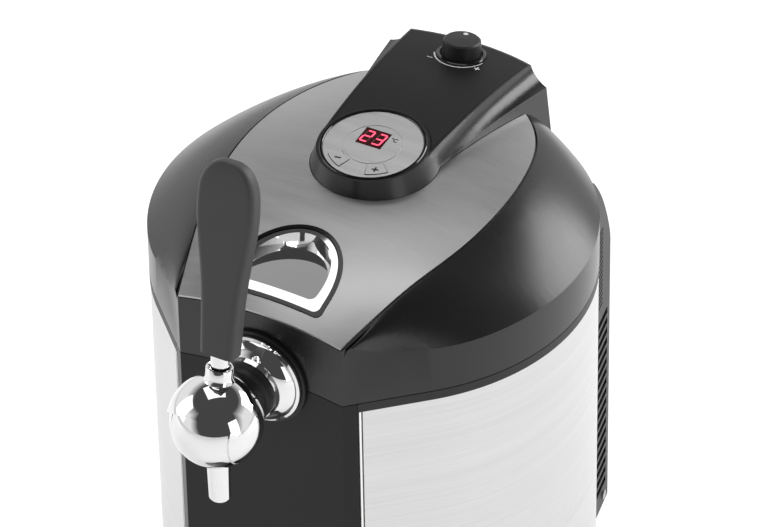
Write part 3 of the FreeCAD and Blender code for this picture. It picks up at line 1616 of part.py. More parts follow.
def display_disc():
    """The silver disc with a window, two slots for the keys and a fine round groove."""
    body = new_body("display_disc")
    disc = circles(body, [("0", "0", "disc_radius")], "XY_Plane", "-disc_thickness")
    pad(body, disc, "disc_thickness")
    pocket(body, profile(body, led_rectangle(0), "XY_Plane", "1"), "disc_thickness * 4")
    for side in (1, -1):
        pocket(body, profile(body, key_points(side, "0"), "XY_Plane", "1"), "disc_thickness * 4")
    rings = circles(body, [("0", "0", "key_inner_radius - 1"), ("0", "0", "key_inner_radius - 1.5")],
                    "XY_Plane", "0")
    pocket(body, rings, "0.3")
    return display_piece(body, "display_disc")


def display_key(side, name):
    body = new_body(name)
    pad(body, profile(body, key_points(side, "key_gap"), "XY_Plane", "-3.4"), "3.8")
    return display_piece(body, name)


def minus_key():
    return display_key(-1, "minus_key")


def plus_key():
    return display_key(1, "plus_key")


def led_window():
    """The dark window in front of the digits."""
    body = new_body("led_window")
    pad(body, profile(body, led_rectangle(-0.15), "XY_Plane", "-2.4"), "2.5")
    return display_piece(body, "led_window")


def display_board():
    """The round board with the digit module and a small switch under each key."""
    body = new_body("display_board")
    pad(body, circles(body, [("0", "0", "disc_radius - 3")], "XY_Plane", "-9"), "1.6")
    pad(body, profile(body, led_rectangle(-1), "XY_Plane", "-7.4"), "5")
    reach = "(key_inner_radius / 2 + key_outer_radius / 2)"
    spots = []
    for side in ("", "-"):
        spots.append((f"{side}{reach} * sin(key_angle)", f"-{reach} * cos(key_angle)", "2.5"))
    pad(body, circles(body, spots, "XY_Plane", "-7.4"), "3.2")
    return display_piece(body, "display_board")


def release_bezel():
    """The black cup round the lid release, whose rim follows the plate."""
    gap = value("button_gap")
    outer = under_plate(-0.7).common(release_prism(gap + value("bezel_width"), RELEASE_FLOOR, 90))
    return feature("release_bezel", outer.cut(release_prism(gap, RELEASE_FLOOR + 2, 90)))


def release_button():
    """The bright button with a hollow for the finger that is deepest at its rear."""
    bottom = RELEASE_FLOOR + 5.5
    whole = under_plate(0).common(release_prism(0, bottom, 90))
    floor = 54.2
    hollow = Part.makeLoft([release_wire(-6.2, seam() + floor), release_wire(-2.6, seam() + floor + 12)],
                           True, True)
    inner = release_prism(-3, bottom - 2, bottom + 10)
    return feature("release_button", whole.cut([hollow, inner]))


def knob_ring():
    """The shallow ring in which the knob stands."""
    body = new_body("knob_ring")
    section = [
        ("knob_radius + 0.5", "-1.4"),
        ("knob_radius + 3", "-1.4"),
        ("knob_radius + 3", "0.6"),
        ("knob_radius + 2.4", "1"),
        ("knob_radius + 1", "1"),
        ("knob_radius + 0.5", "0.4"),
    ]
    revolve(body, profile(body, section, "XZ_Plane"))
    return tilt(body, "knob_ring", "-knob_tilt", "knob_centre", KNOB_RISE)


def regulator_knob():
    """The fluted pressure knob with its stem."""
    body = new_body("regulator_knob")
    top = "(knob_height + 0.4)"
    section = [
        ("0", "-14"),
        ("3", "-14"),
        ("3", "0.4"),
        ("knob_radius", "0.4"),
        ("knob_radius - 0.7", f"{top} - 1.4"),
        ("knob_radius - 1.7", f"{top} - 0.5"),
        ("0", top),
    ]
    revolve(body, profile(body, section, "XZ_Plane"))
    flute = circles(body, [("knob_radius + flute_radius * 0.3", "0", "flute_radius")], "XY_Plane", f"{top} + 2")
    first = pocket(body, flute, "knob_height + 1.6")
    polar_pattern(body, first, flute, "flute_count")
    return tilt(body, "regulator_knob", "-knob_tilt", "knob_centre", KNOB_RISE)


def regulator_body():
    """The pressure regulator under the knob, with ports for cartridge and hose."""
    barrel = cylinder("12", "40.2", y="knob_centre", z="seam_height + 34")
    port = cylinder("3", "4", x="9", y="knob_centre", z="seam_height + 40", turn="x")
    seat = cylinder("6", "6", y="knob_centre - 15.5", z="seam_height + 45", turn="y")
    stem_bore = cylinder("5.6", "16", y="knob_centre", z="seam_height + 60")
    return finish(cut(joined(barrel, port, seat), stem_bore), "regulator_body")


def cartridge_sleeve():
    """The screw-on sleeve that holds the gas cartridge."""
    body = new_body("cartridge_sleeve")
    section = [
        ("-8", "0"), ("-8", "13.5"), ("knob_centre - 12.3", "13.5"), ("knob_centre - 12.3", "11.3"),
        ("-5", "11.3"), ("-5", "0"),
    ]
    revolve(body, profile(body, section, "YZ_Plane"), "H_Axis")
    bind(body, "Placement.Base.z", "seam_height + 45")
    return finish(body, "cartridge_sleeve")


def gas_cartridge():
    """The small steel cartridge: a round bottom, a long body and a slim neck."""
    body = new_body("gas_cartridge")
    section = [
        ("-4.7", "0"), ("-4.7", "4", "7", 1), ("2.3", "11"), ("67", "11"), ("78", "4.2"), ("88", "4.2"),
        ("88", "3.6"), ("90", "3.6"), ("90", "0"),
    ]
    points = [point if len(point) == 2 else (point[0], point[1], point[2], -1) for point in section]
    revolve(body, profile(body, points, "YZ_Plane"), "H_Axis")
    bind(body, "Placement.Base.z", "seam_height + 45")
    return finish(body, "gas_cartridge")


def gas_hose():
    """The thin hose from the regulator to its plug, which is parked on the cover."""
    centre = value("knob_centre")
    points = [
        Vector(13.2, centre, seam() + 40),
        Vector(45, centre, seam() + 40),
        Vector(66, 60, seam() + 16.8),
        Vector(66, 12.2, seam() + 16.8),
    ]
    return feature("gas_hose", hose(points, 2.0, 1.0))


def gas_plug():
    """The plug on the end of the gas hose."""
    grip = cylinder("6", "26", x="66", y="-14", z="seam_height + 16.8", turn="y")
    tip = cylinder("3", "7", x="66", y="-20", z="seam_height + 16.8", turn="y")
    return finish(joined(grip, tip), "gas_plug")


# Drip tray

def tray_points(margin):
    side = f"(tray_half_width - {margin})"
    front = f"(tray_reach - {margin})"
    rear = f"(body_radius + 2 + {margin})"
    corner = f"(tray_corner - {margin})"
    return [
        (f"-{side}", f"-{front} + {corner}", corner, 1),
        (f"-{side} + {corner}", f"-{front}"),
        (f"{side} - {corner}", f"-{front}", corner, 1),
        (side, f"-{front} + {corner}"),
        (side, f"-{rear}"),
        (f"-{side}", f"-{rear}"),
    ]


def drip_tray():
    """The tray in front of the cabinet, with a ledge for the grate and two tongues behind."""
    body = new_body("drip_tray")
    pad(body, profile(body, tray_points(0)), "tray_height")
    pocket(body, profile(body, tray_points(2), "XY_Plane", "tray_height"), "3")
    pocket(body, profile(body, tray_points(4), "XY_Plane", "tray_height"), "tray_height - 3")
    for low, high in (("28.3", "43.7"), ("-43.7", "-28.3")):
        tongue = profile(body, rectangle(low, high, "tray_height - 13.7", "tray_height - 8.3"), "XZ_Plane",
                         "body_radius - 9")
        pad(body, tongue, "12")
    return finish(body, "drip_tray")


def drip_grate():
    """The slotted plate that lies in the tray."""
    body = new_body("drip_grate")
    pad(body, profile(body, tray_points(2.3), "XY_Plane", "tray_height - 3"), "grate_thickness")
    slot = profile(body, rectangle("-52", "-47.5", "-tray_reach + 16", "-body_radius - 14"), "XY_Plane",
                   "tray_height")
    first = pocket(body, slot, "6")
    line_pattern(body, first, slot, "H_Axis", "99.5", "12")
    return finish(body, "drip_grate")


MAKERS = (
    base_moulding, rubber_feet, steel_wrap, front_panel, panel_beads, top_deck, insulation, chamber_liner,
    keg_seat, cold_block, peltier_module, heat_sink, fan_frame, fan_rotor, rear_housing, housing_screws,
    power_inlet, power_switch, power_board, hinge_brackets, hinge_pin, latch_catches, latch_bar,
    collar_ring, tap_collar, coupling_ring, tap_shank, shank_nut, tap_body, valve_plunger, tap_cap,
    lever_rod, tap_handle, keg_coupler, beer_hose, lid_shell, top_plate, spine_panel, lid_inner_cover,
    lid_gasket, display_ring, display_disc, minus_key, plus_key, led_window, display_board,
    release_bezel, release_button, knob_ring, regulator_knob, regulator_body, cartridge_sleeve,
    gas_cartridge, gas_hose, gas_plug, drip_tray, drip_grate,
)

for make in MAKERS:
    make()
document.recompute()

problems = []
for item in document.Objects:
    if "Invalid" in item.State or "Error" in item.State:
        problems.append(f"{item.Label}: {item.State}")
for item, name in finished_nodes:
    if item.Shape.isNull() or not item.Shape.isValid() or item.Shape.Volume <= 0:
        problems.append(f"{name}: bad shape")
if problems:
    raise RuntimeError("; ".join(problems))

os.makedirs("parts", exist_ok=True)
for item, name in finished_nodes:
    item.Shape.exportStep(f"parts/{name}.step")
    box_of = item.Shape.BoundBox
    print(f"{name}: {len(item.Shape.Solids)} solid(s), {item.Shape.Volume / 1000:.1f} cm3, "
          f"z {box_of.ZMin:.1f} to {box_of.ZMax:.1f} mm")
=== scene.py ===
# %% [markdown]
# # A mini keg beer dispenser
# The solids of the dispenser come in as a fixed frame: every piece already has its real size and place.
# This script gives each piece its finish, shades the bright pieces smooth, draws the cap of the tap
# afresh, adds the digits and the printed marks, and sets up the picture. All lengths are in metres.

# %% Load the frame
import json
import math

import bpy
from mathutils import Matrix, Vector

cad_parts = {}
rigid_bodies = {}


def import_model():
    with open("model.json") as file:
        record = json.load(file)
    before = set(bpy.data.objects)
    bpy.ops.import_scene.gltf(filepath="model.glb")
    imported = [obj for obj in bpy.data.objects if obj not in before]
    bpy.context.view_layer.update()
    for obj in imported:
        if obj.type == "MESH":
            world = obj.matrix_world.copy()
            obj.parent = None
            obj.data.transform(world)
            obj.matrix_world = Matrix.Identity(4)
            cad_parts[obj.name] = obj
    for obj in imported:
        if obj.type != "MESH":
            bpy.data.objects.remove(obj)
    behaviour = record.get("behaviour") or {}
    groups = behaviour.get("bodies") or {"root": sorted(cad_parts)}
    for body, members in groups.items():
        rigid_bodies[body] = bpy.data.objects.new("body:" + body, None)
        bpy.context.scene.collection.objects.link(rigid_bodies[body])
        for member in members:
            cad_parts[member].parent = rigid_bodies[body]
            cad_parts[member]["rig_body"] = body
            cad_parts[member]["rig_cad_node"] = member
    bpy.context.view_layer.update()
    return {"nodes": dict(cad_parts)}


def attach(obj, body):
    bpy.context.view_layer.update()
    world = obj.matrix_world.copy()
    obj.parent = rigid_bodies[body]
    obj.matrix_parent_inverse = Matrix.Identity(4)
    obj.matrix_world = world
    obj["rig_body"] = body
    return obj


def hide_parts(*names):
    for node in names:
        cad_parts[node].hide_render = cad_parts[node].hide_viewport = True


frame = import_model()
nodes = frame["nodes"]

# %% [markdown]
# ## The camera
# A long lens from well away keeps upright edges nearly parallel, as in a catalogue picture. The camera
# stands to the right of the front and looks down at the lid. Its place and turn are set by a matrix,
# because a matrix also holds the slight roll of the view.

# %% Place the camera
SENSOR_WIDTH = 36
FOCAL_LENGTH = 253.73
FAR_CLIP = 60
STAND = (1.31808, -2.23706, 2.29484)
TURN, RISE, ROLL = (math.radians(angle) for angle in (29.878, 36.936, -1.027))


def view_axes(turn, rise, roll):
    """The right, up and back directions of a camera that is turned, raised and rolled."""
    back = Vector((math.sin(turn) * math.cos(rise), -math.cos(turn) * math.cos(rise), math.sin(rise)))
    level = Vector((math.cos(turn), math.sin(turn), 0))
    upright = back.cross(level)
    right = math.cos(roll) * level + math.sin(roll) * upright
    up = math.cos(roll) * upright - math.sin(roll) * level
    return right, up, back


lens = bpy.data.cameras.new("catalogue_camera")
lens.sensor_width = SENSOR_WIDTH
lens.lens = FOCAL_LENGTH
lens.clip_end = FAR_CLIP
camera = bpy.data.objects.new("catalogue_camera", lens)
bpy.context.scene.collection.objects.link(camera)
axes = Matrix(view_axes(TURN, RISE, ROLL)).transposed().to_4x4()
camera.matrix_world = Matrix.Translation(STAND) @ axes
bpy.context.scene.camera = camera
print("camera at", STAND, "with lens", round(lens.lens, 2))

# %% [markdown]
# ## Shader sums in plain Python
# A finish is a graph of nodes. Written out node by node it is hard to read, so a small class wraps an
# output and lets + - * build Math nodes. One method makes any other node: its settings first, because
# some settings change the sockets, then the values or links of its sockets.

# %% Wires and graphs
class Wire:
    """An output of a node that can be used in a sum."""

    def __init__(self, graph, socket):
        self.graph = graph
        self.socket = socket

    def calculate(self, operation, first, second):
        return self.graph.node("ShaderNodeMath", {"operation": operation}, {0: first, 1: second})

    def __add__(self, other):
        return self.calculate("ADD", self, other)

    def __sub__(self, other):
        return self.calculate("SUBTRACT", self, other)

    def __rsub__(self, other):
        return self.calculate("SUBTRACT", other, self)

    def __mul__(self, other):
        return self.calculate("MULTIPLY", self, other)

    def or_more(self, other):
        return self.calculate("MAXIMUM", self, other)

    __radd__ = __add__
    __rmul__ = __mul__


class Graph:
    """A node tree under construction."""

    def __init__(self, tree):
        self.tree = tree

    def feed(self, socket, entry):
        """Link a wire to a socket, or set the socket's own value."""
        if isinstance(entry, Wire):
            self.tree.links.new(entry.socket, socket)
        else:
            socket.default_value = entry

    def node(self, kind, settings=None, inputs=None, output=0):
        item = self.tree.nodes.new(kind)
        for name, setting in (settings or {}).items():
            if name == "stops":
                for stop, (position, colour) in zip(item.color_ramp.elements, setting):
                    stop.position = position
                    stop.color = colour
            else:
                setattr(item, name, setting)
        for name, entry in (inputs or {}).items():
            self.feed(item.inputs[name], entry)
        return Wire(self, item.outputs[output])


print("a sum of wires now makes Math nodes")

# %% [markdown]
# ## What every finish is made of
# Each finish starts from the Principled shader, whose sockets are set by name. Patterns are read in
# Object coordinates, stretched or turned by a Mapping node, so that they stay on a piece that moves.
# Soft noise moves the colour and the roughness, because no real surface is the same all over.

# %% Finishes
class Finish(Graph):
    """A material under construction, with its shader's sockets set by name."""

    def __init__(self, name, **sockets):
        self.material = bpy.data.materials.new(name)
        self.material.use_nodes = True
        super().__init__(self.material.node_tree)
        self.shader = self.tree.nodes["Principled BSDF"]
        self.dress(**sockets)

    def dress(self, **sockets):
        for name, entry in sockets.items():
            title = name.replace("_", " ").title().replace("Ior", "IOR")
            self.feed(self.shader.inputs[title], entry)

    def place(self, scale=(1, 1, 1), turn=(0, 0, 0)):
        """Object coordinates, stretched and turned."""
        spot = self.node("ShaderNodeTexCoord", output="Object")
        return self.node("ShaderNodeMapping", inputs={"Vector": spot, "Scale": scale, "Rotation": turn})

    def noise(self, place, scale, detail=2.0, rough=0.5):
        """Cloudy values about 0.5."""
        return self.node("ShaderNodeTexNoise", inputs={
            "Vector": place, "Scale": scale, "Detail": detail, "Roughness": rough})

    def tint(self, amount, low, high):
        """A colour between two, by an amount from 0 to 1."""
        colours = {"Factor": amount, "A": low, "B": high}
        return self.node("ShaderNodeMix", {"data_type": "RGBA"}, colours, output=2)

    def bump(self, height, strength, distance):
        return self.node("ShaderNodeBump", inputs={
            "Height": height, "Strength": strength, "Distance": distance})


def shade(grey, factor=1.0, tone=(1, 1, 1)):
    """A colour from one grey value and a tone."""
    return tuple(min(1.0, grey * factor * part) for part in tone) + (1.0,)


print("finishes can be built, with white as", shade(1.0))

# %% [markdown]
# ## Moulded plastic
# Most of the dispenser is injection moulded. The tool leaves a very fine grain, the surface is never
# evenly dull, and handling polishes it in soft clouds. A fine noise gives the grain as bump, and a slow
# noise moves the roughness and the colour a little.

# %% Plastics
GRAIN_DEPTH = 0.00005


def moulded(name, grey, roughness, grain=0.12, grain_size=2600, tone=(1, 1, 1), **more):
    """Plastic with a fine tool grain and soft handling clouds."""
    finish = Finish(name, **more)
    place = finish.place()
    clouds = finish.noise(place, 14, 3)
    grain_height = finish.noise(place, grain_size, 2, 0.6)
    colour = finish.tint(clouds, shade(grey, 0.86, tone), shade(grey, 1.16, tone))
    finish.dress(base_color=colour, roughness=roughness + (clouds - 0.5) * 0.12,
                 normal=finish.bump(grain_height, grain, GRAIN_DEPTH))
    return finish.material


FINISHES = {
    "black_moulding": moulded("black_moulding", 0.013, 0.46, specular_ior_level=0.4),
    "front_moulding": moulded("front_moulding", 0.01, 0.34, 0.05, specular_ior_level=0.24),
    "fan_moulding": moulded("fan_moulding", 0.03, 0.5),
    "black_panel": moulded("black_panel", 0.007, 0.5, 0.16, 3200, specular_ior_level=0.25),
    "black_gloss": moulded("black_gloss", 0.006, 0.09, 0.01, 300),
    "lid_moulding": moulded("lid_moulding", 0.009, 0.27, 0.03, 1800, specular_ior_level=0.5),
}
print("plastics:", sorted(FINISHES))

# %% [markdown]
# ## Brushed and polished metal
# Brushing leaves fine lines in one direction. A noise that is stretched far along the brush and squeezed
# across it gives them; the same lines move the colour, the roughness and a tiny bump. Chrome is almost a
# mirror, so it only gets faint smears, while turned and ground parts get lines round or along them.

# %% Metals
BRUSH_DEPTH = 0.00004
BRASS_TONE = (1, 0.76, 0.36)


def brushed(name, grey, roughness, along, fine=900, depth=0.1, tone=(1, 1, 1)):
    """Metal with fine lines; along gives how far the pattern is squeezed on each axis."""
    finish = Finish(name, metallic=1.0)
    place = finish.place(along)
    lines = finish.noise(place, fine, 4, 0.65)
    bands = finish.noise(place, fine / 9, 2)
    clouds = finish.noise(finish.place(), 9, 2)
    mix = lines * 0.65 + bands * 0.35
    colour = finish.tint(mix, shade(grey, 0.8, tone), shade(grey, 1.2, tone))
    finish.dress(base_color=colour, roughness=roughness + (mix - 0.5) * 0.22 + (clouds - 0.5) * 0.06,
                 normal=finish.bump(lines, depth, BRUSH_DEPTH))
    return finish.material


def polished(name, grey, roughness):
    """Bright metal with faint smears."""
    finish = Finish(name, metallic=1.0)
    smears = finish.noise(finish.place((1, 1, 2.5)), 45, 4, 0.6)
    colour = finish.tint(smears, shade(grey, 0.96), shade(grey, 1.03))
    finish.dress(base_color=colour, roughness=roughness + (smears - 0.45) * 0.05)
    return finish.material


FINISHES.update({
    "brushed_jacket": brushed("brushed_jacket", 0.64, 0.3, (0.008, 0.008, 1)),
    "brushed_plate": brushed("brushed_plate", 0.44, 0.36, (0.02, 1, 1), 700),
    "silver_disc": brushed("silver_disc", 0.63, 0.36, (0.02, 1, 1), 1200, 0.05),
    "liner_metal": brushed("liner_metal", 0.62, 0.42, (1, 1, 0.06), 500),
    "screw_steel": brushed("screw_steel", 0.45, 0.35, (1, 0.1, 1), 1500),
    "pin_steel": brushed("pin_steel", 0.6, 0.25, (1, 0.05, 0.05), 1500),
    "bright_bead": polished("bright_bead", 0.85, 0.16),
    "bright_chrome": polished("bright_chrome", 0.78, 0.04),
    "regulator_brass": brushed("regulator_brass", 0.62, 0.28, (1, 0.05, 1), 1200, 0.08, BRASS_TONE),
    "cartridge_steel": brushed("cartridge_steel", 0.6, 0.24, (1, 0.1, 1), 700, 0.05),
})
print("metals added,", len(FINISHES), "finishes so far")

# %% [markdown]
# ## Rubber, foam and ceramic
# Rubber is dull with a dusty bloom, which a slow noise gives. Foam is a mass of open bubbles, for which
# a cell pattern gives both the colour and the bump. The module's ceramic is white with fine specks.

# %% Rubber, foam and ceramic
BLOOM_DEPTH = 0.00008
BUBBLE_DEPTH = 0.0004


def rubber(name, grey, roughness):
    finish = Finish(name, specular_ior_level=0.35)
    place = finish.place()
    bloom = finish.noise(place, 60, 4, 0.65)
    colour = finish.tint(bloom, shade(grey, 0.8), shade(grey, 1.3))
    finish.dress(base_color=colour, roughness=roughness + (bloom - 0.5) * 0.14,
                 normal=finish.bump(finish.noise(place, 1500, 3), 0.12, BLOOM_DEPTH))
    return finish.material


def foam(name):
    finish = Finish(name, specular_ior_level=0.2)
    place = finish.place()
    cells = finish.node("ShaderNodeTexVoronoi", inputs={"Vector": place, "Scale": 420.0})
    clouds = finish.noise(place, 40, 3)
    colour = finish.tint(cells * 0.7 + clouds * 0.3,
                         shade(0.7, 1, (1, 0.97, 0.9)), shade(0.9, 1, (1, 0.98, 0.93)))
    finish.dress(base_color=colour, roughness=0.85 + clouds * 0.1,
                 normal=finish.bump(cells, 0.5, BUBBLE_DEPTH))
    return finish.material


def ceramic(name):
    finish = Finish(name)
    specks = finish.noise(finish.place(), 900, 3)
    finish.dress(base_color=finish.tint(specks, shade(0.78), shade(0.9, 1, (1, 1, 0.98))),
                 roughness=0.55 + (specks - 0.5) * 0.2, normal=finish.bump(specks, 0.1, GRAIN_DEPTH))
    return finish.material


FINISHES.update({
    "black_rubber": rubber("black_rubber", 0.02, 0.62),
    "seal_rubber": rubber("seal_rubber", 0.03, 0.7),
    "white_foam": foam("white_foam"),
    "module_ceramic": ceramic("module_ceramic"),
})
print("soft and white finishes added,", len(FINISHES), "so far")

# %% [markdown]
# ## Hose, board, grip and window
# The hose is clear and soft. The board is lacquered green with lighter tracks under the lacquer, drawn
# by a brick pattern turned by an eighth. The handle has a soft coating, dull and finely stippled. The
# window of the display is dark red and glossy, so it is a moulding with a red tone.

# %% Hose, board, grip and window
TRACK_DEPTH = 0.00006
BLACK, WHITE = (0, 0, 0, 1), (1, 1, 1, 1)
DARK_LACQUER, LIGHT_LACQUER = (0.012, 0.1, 0.035, 1), (0.02, 0.15, 0.05, 1)
TRACK_GREEN = (0.05, 0.28, 0.1, 1)


def clear_hose(name):
    finish = Finish(name, transmission_weight=0.35, ior=1.45)
    clouds = finish.noise(finish.place(), 120, 3)
    colour = finish.tint(clouds, shade(0.7, 1, (1, 1, 0.95)), shade(0.85, 1, (1, 1, 0.97)))
    finish.dress(base_color=colour, roughness=0.2 + clouds * 0.12)
    return finish.material


def circuit_board(name):
    finish = Finish(name)
    tracks = finish.node("ShaderNodeTexBrick", {"offset": 0.5}, {
        "Vector": finish.place(turn=(0, 0, math.radians(45))), "Scale": 260.0, "Mortar Size": 0.09,
        "Color1": BLACK, "Color2": (0.25, 0.25, 0.25, 1), "Mortar": WHITE}, output="Fac")
    weave = finish.noise(finish.place(), 600, 2)
    lacquer = finish.tint(weave, DARK_LACQUER, LIGHT_LACQUER)
    finish.dress(base_color=finish.tint(tracks, lacquer, TRACK_GREEN),
                 roughness=0.3 + weave * 0.1, normal=finish.bump(tracks, 0.2, TRACK_DEPTH))
    return finish.material


def soft_grip(name):
    finish = Finish(name, specular_ior_level=0.4)
    place = finish.place()
    clouds = finish.noise(place, 20, 3)
    stipple = finish.noise(place, 3000, 2, 0.7)
    colour = finish.tint(clouds * 0.7 + stipple * 0.3, shade(0.05), shade(0.08))
    finish.dress(base_color=colour, roughness=0.52 + (clouds - 0.5) * 0.12,
                 normal=finish.bump(stipple, 0.15, GRAIN_DEPTH))
    return finish.material


FINISHES.update({
    "soft_grip": soft_grip("soft_grip"),
    "clear_hose": clear_hose("clear_hose"),
    "board": circuit_board("board"),
    "dark_window": moulded("dark_window", 0.05, 0.12, 0.01, 300, (1, 0.16, 0.16)),
})
for piece in nodes.values():
    for slot in piece.material_slots:
        slot.material = FINISHES[slot.material.name]
print("every node is dressed in one of", len(FINISHES), "finishes")

# %% [markdown]
# ## Working on one piece at a time
# An operator acts on all that is selected, so everything is deselected before a piece is picked or
# added. Most pieces below go through the same few steps in edit mode, each on the whole of the piece,
# so one helper runs a list of such steps. A finished piece gets its finish and the body that it moves
# with.

# %% Helpers for new pieces
MM = 0.001
MERGE = (bpy.ops.mesh.remove_doubles, {"threshold": 1e-6})
TURN_OUT = (bpy.ops.mesh.normals_make_consistent, {"inside": False})


def only(piece):
    """Deselect everything, then pick one piece."""
    bpy.ops.object.select_all(action="DESELECT")
    piece.select_set(True)
    bpy.context.view_layer.objects.active = piece


def fresh(add, name, **sizes):
    """A new primitive with nothing else selected."""
    bpy.ops.object.select_all(action="DESELECT")
    add(**sizes)
    piece = bpy.context.object
    piece.name = name
    bpy.ops.object.transform_apply(location=True, rotation=True, scale=True)
    return piece


def shape(piece, *steps):
    """Run steps of edit mode, each an operator with its settings, on the whole of a piece."""
    only(piece)
    bpy.ops.object.mode_set(mode="EDIT")
    for operator, settings in steps:
        bpy.ops.mesh.select_all(action="SELECT")
        operator(**settings)
    bpy.ops.object.mode_set(mode="OBJECT")


def thickness(depth):
    """The step that gives a flat piece its thickness."""
    return bpy.ops.mesh.extrude_region_move, {"TRANSFORM_OT_translate": {"value": (0, 0, depth)}}


def spun(steps, angle):
    """The step that spins a line about the upright axis."""
    return bpy.ops.mesh.spin, {"steps": steps, "angle": math.radians(angle),
                               "center": (0, 0, 0), "axis": (0, 0, 1)}


def shift(piece, across, along, height):
    """Move a piece inside its own mesh, in millimetres."""
    piece.data.transform(Matrix.Translation((across * MM, along * MM, height * MM)))


def complete(piece, body, finish):
    """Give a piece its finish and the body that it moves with."""
    piece.data.materials.clear()
    piece.data.materials.append(finish)
    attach(piece, body)


print("helpers for new pieces ready")

# %% [markdown]
# ## Smooth reflections
# A solid comes in as loose triangles. On dull plastic that does not show, but chrome and gloss mirror
# every facet. These nodes are copied, their doubled corners are merged, and all edges that turn by less
# than a set angle are shaded smooth, so that a highlight glides over them while real edges stay sharp.

# %% Smooth copies of the bright and round nodes
GLIDING = {
    "cabinet": ("tap_body", "tap_collar", "collar_ring", "coupling_ring"),
    "lever": ("lever_rod", "tap_handle"),
    "lid": ("display_ring", "knob_ring", "release_bezel", "lid_shell"),
    "release": ("release_button",),
    "knob": ("regulator_knob",),
}
SHARP_ANGLE = math.radians(32)


def glide(name, body):
    """Replace a node by a merged copy that is smooth wherever it bends gently."""
    node = nodes[name]
    copy = node.copy()
    copy.data = node.data.copy()
    copy.name = name + "_smooth"
    copy.parent = None
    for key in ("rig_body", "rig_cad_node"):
        if key in copy:
            del copy[key]
    bpy.context.scene.collection.objects.link(copy)
    only(copy)
    bpy.ops.mesh.customdata_custom_splitnormals_clear()
    shape(copy, MERGE)
    bpy.ops.object.shade_smooth_by_angle(angle=SHARP_ANGLE)
    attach(copy, body)
    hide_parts(name)


for body, names in GLIDING.items():
    for name in names:
        glide(name, body)
print("smooth copies:", sum(len(names) for names in GLIDING.values()))

# %% [markdown]
# ## The cap of the tap
# The cap is a thin piece of a hollow ball with an arched front edge, and a neck that sweeps up round the
# rod. It is the brightest piece of the picture, so its mesh is made here, finer than a solid's facets.
# A ball is cut by a wide lying cylinder, which leaves the arched edge, and by a leaning block behind.

# %% The ball, cut in front and behind
AXIS_Y, SEAM_Z = 39.5 * MM, 322 * MM
TAP_MIDDLE = Vector((0, AXIS_Y - 184.5 * MM, SEAM_Z + 4 * MM))
OUTER_RADIUS, INNER_RADIUS = 29.3 * MM, 27.7 * MM
ARCH_RADIUS, ARCH_TOP = 36 * MM, 17.3 * MM
TOOL_SIZE = 0.2
BACK_SLOPE = math.atan(0.6)


def combine(piece, tool, operation):
    """Cut or join one piece with another, and take the tool away."""
    only(piece)
    step = piece.modifiers.new("combine", "BOOLEAN")
    step.operation = operation
    step.object = tool
    step.solver = "EXACT"
    bpy.ops.object.modifier_apply(modifier=step.name)
    bpy.data.objects.remove(tool)


def fine_ball(name, radius):
    return fresh(bpy.ops.mesh.primitive_uv_sphere_add, name, segments=96, ring_count=64, radius=radius)


cap = fine_ball("tap_cap_shell", OUTER_RADIUS)
arch = fresh(bpy.ops.mesh.primitive_cylinder_add, "arch_tool", vertices=160, radius=ARCH_RADIUS,
             depth=TOOL_SIZE, rotation=(math.radians(90), 0, 0),
             location=(0, 0, ARCH_TOP - ARCH_RADIUS))
block = fresh(bpy.ops.mesh.primitive_cube_add, "block_tool", size=TOOL_SIZE,
              location=(0, TOOL_SIZE / 2, -TOOL_SIZE / 2))
block.data.transform(Matrix.Rotation(BACK_SLOPE, 4, "X"))
shift(block, 0, -12, 9)
combine(cap, arch, "DIFFERENCE")
combine(cap, block, "DIFFERENCE")
print("cap cut to", len(cap.data.polygons), "faces")

# %% [markdown]
# ## The neck of the cap
# The neck is round about the rod, so half of its outline is enough: a foot inside the ball, a flare that
# sweeps up in a quarter circle, and a rolled rim with a step inside it. The outline is spun about the
# rod, leaned with it and joined to the ball. Last, a smaller ball hollows the cap to a thin shell.

# %% The spun neck
LEAN = Matrix.Rotation(math.radians(-9), 4, "X")
FOOT_RADIUS, FLARE_TOP = 15.2, 31.4
FLARE_RADIUS, FLARE_STEPS = 7.0, 8
FOOT = [(5.9, 24), (FOOT_RADIUS, 22.2), (FOOT_RADIUS, 24.4)]
RIM = [(8.2, 36.3), (7.95, 36.8), (7.5, 37), (7.1, 37), (6.8, 36.7), (6.8, 33), (5.9, 32.8)]
flare = []
for step in range(1, FLARE_STEPS + 1):
    turned = math.radians(90 * step / FLARE_STEPS)
    flare.append((FOOT_RADIUS - FLARE_RADIUS * math.sin(turned),
                  FLARE_TOP - FLARE_RADIUS * math.cos(turned)))
profile = FOOT + flare + RIM
outline = bpy.data.meshes.new("neck_outline")
outline.from_pydata([(across * MM, 0, up * MM) for across, up in profile],
                    [(index, (index + 1) % len(profile)) for index in range(len(profile))], [])
neck = bpy.data.objects.new("tap_neck", outline)
bpy.context.scene.collection.objects.link(neck)
shape(neck, spun(72, 360), MERGE, TURN_OUT)
neck.data.transform(LEAN)
print("neck spun to", len(neck.data.polygons), "faces")

# %% Join, hollow and place the cap
combine(cap, neck, "UNION")
combine(cap, fine_ball("hollow_tool", INNER_RADIUS), "DIFFERENCE")
only(cap)
bpy.ops.object.shade_smooth_by_angle(angle=SHARP_ANGLE)
cap.data.transform(Matrix.Translation(TAP_MIDDLE))
complete(cap, "lever", FINISHES["bright_chrome"])
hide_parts("tap_cap")
print("cap with neck has", len(cap.data.polygons), "faces")

# %% [markdown]
# ## Tilted faces
# The display and the pressure knob stand on faces that lean a little, one to the front and one to the
# rear. A matrix per face turns points drawn flat about the face's own middle into the frame, so that the
# marks can be drawn flat and lie exactly on their faces.

# %% The two leaning faces
DISPLAY_LEAN, KNOB_LEAN = 5.3, -8


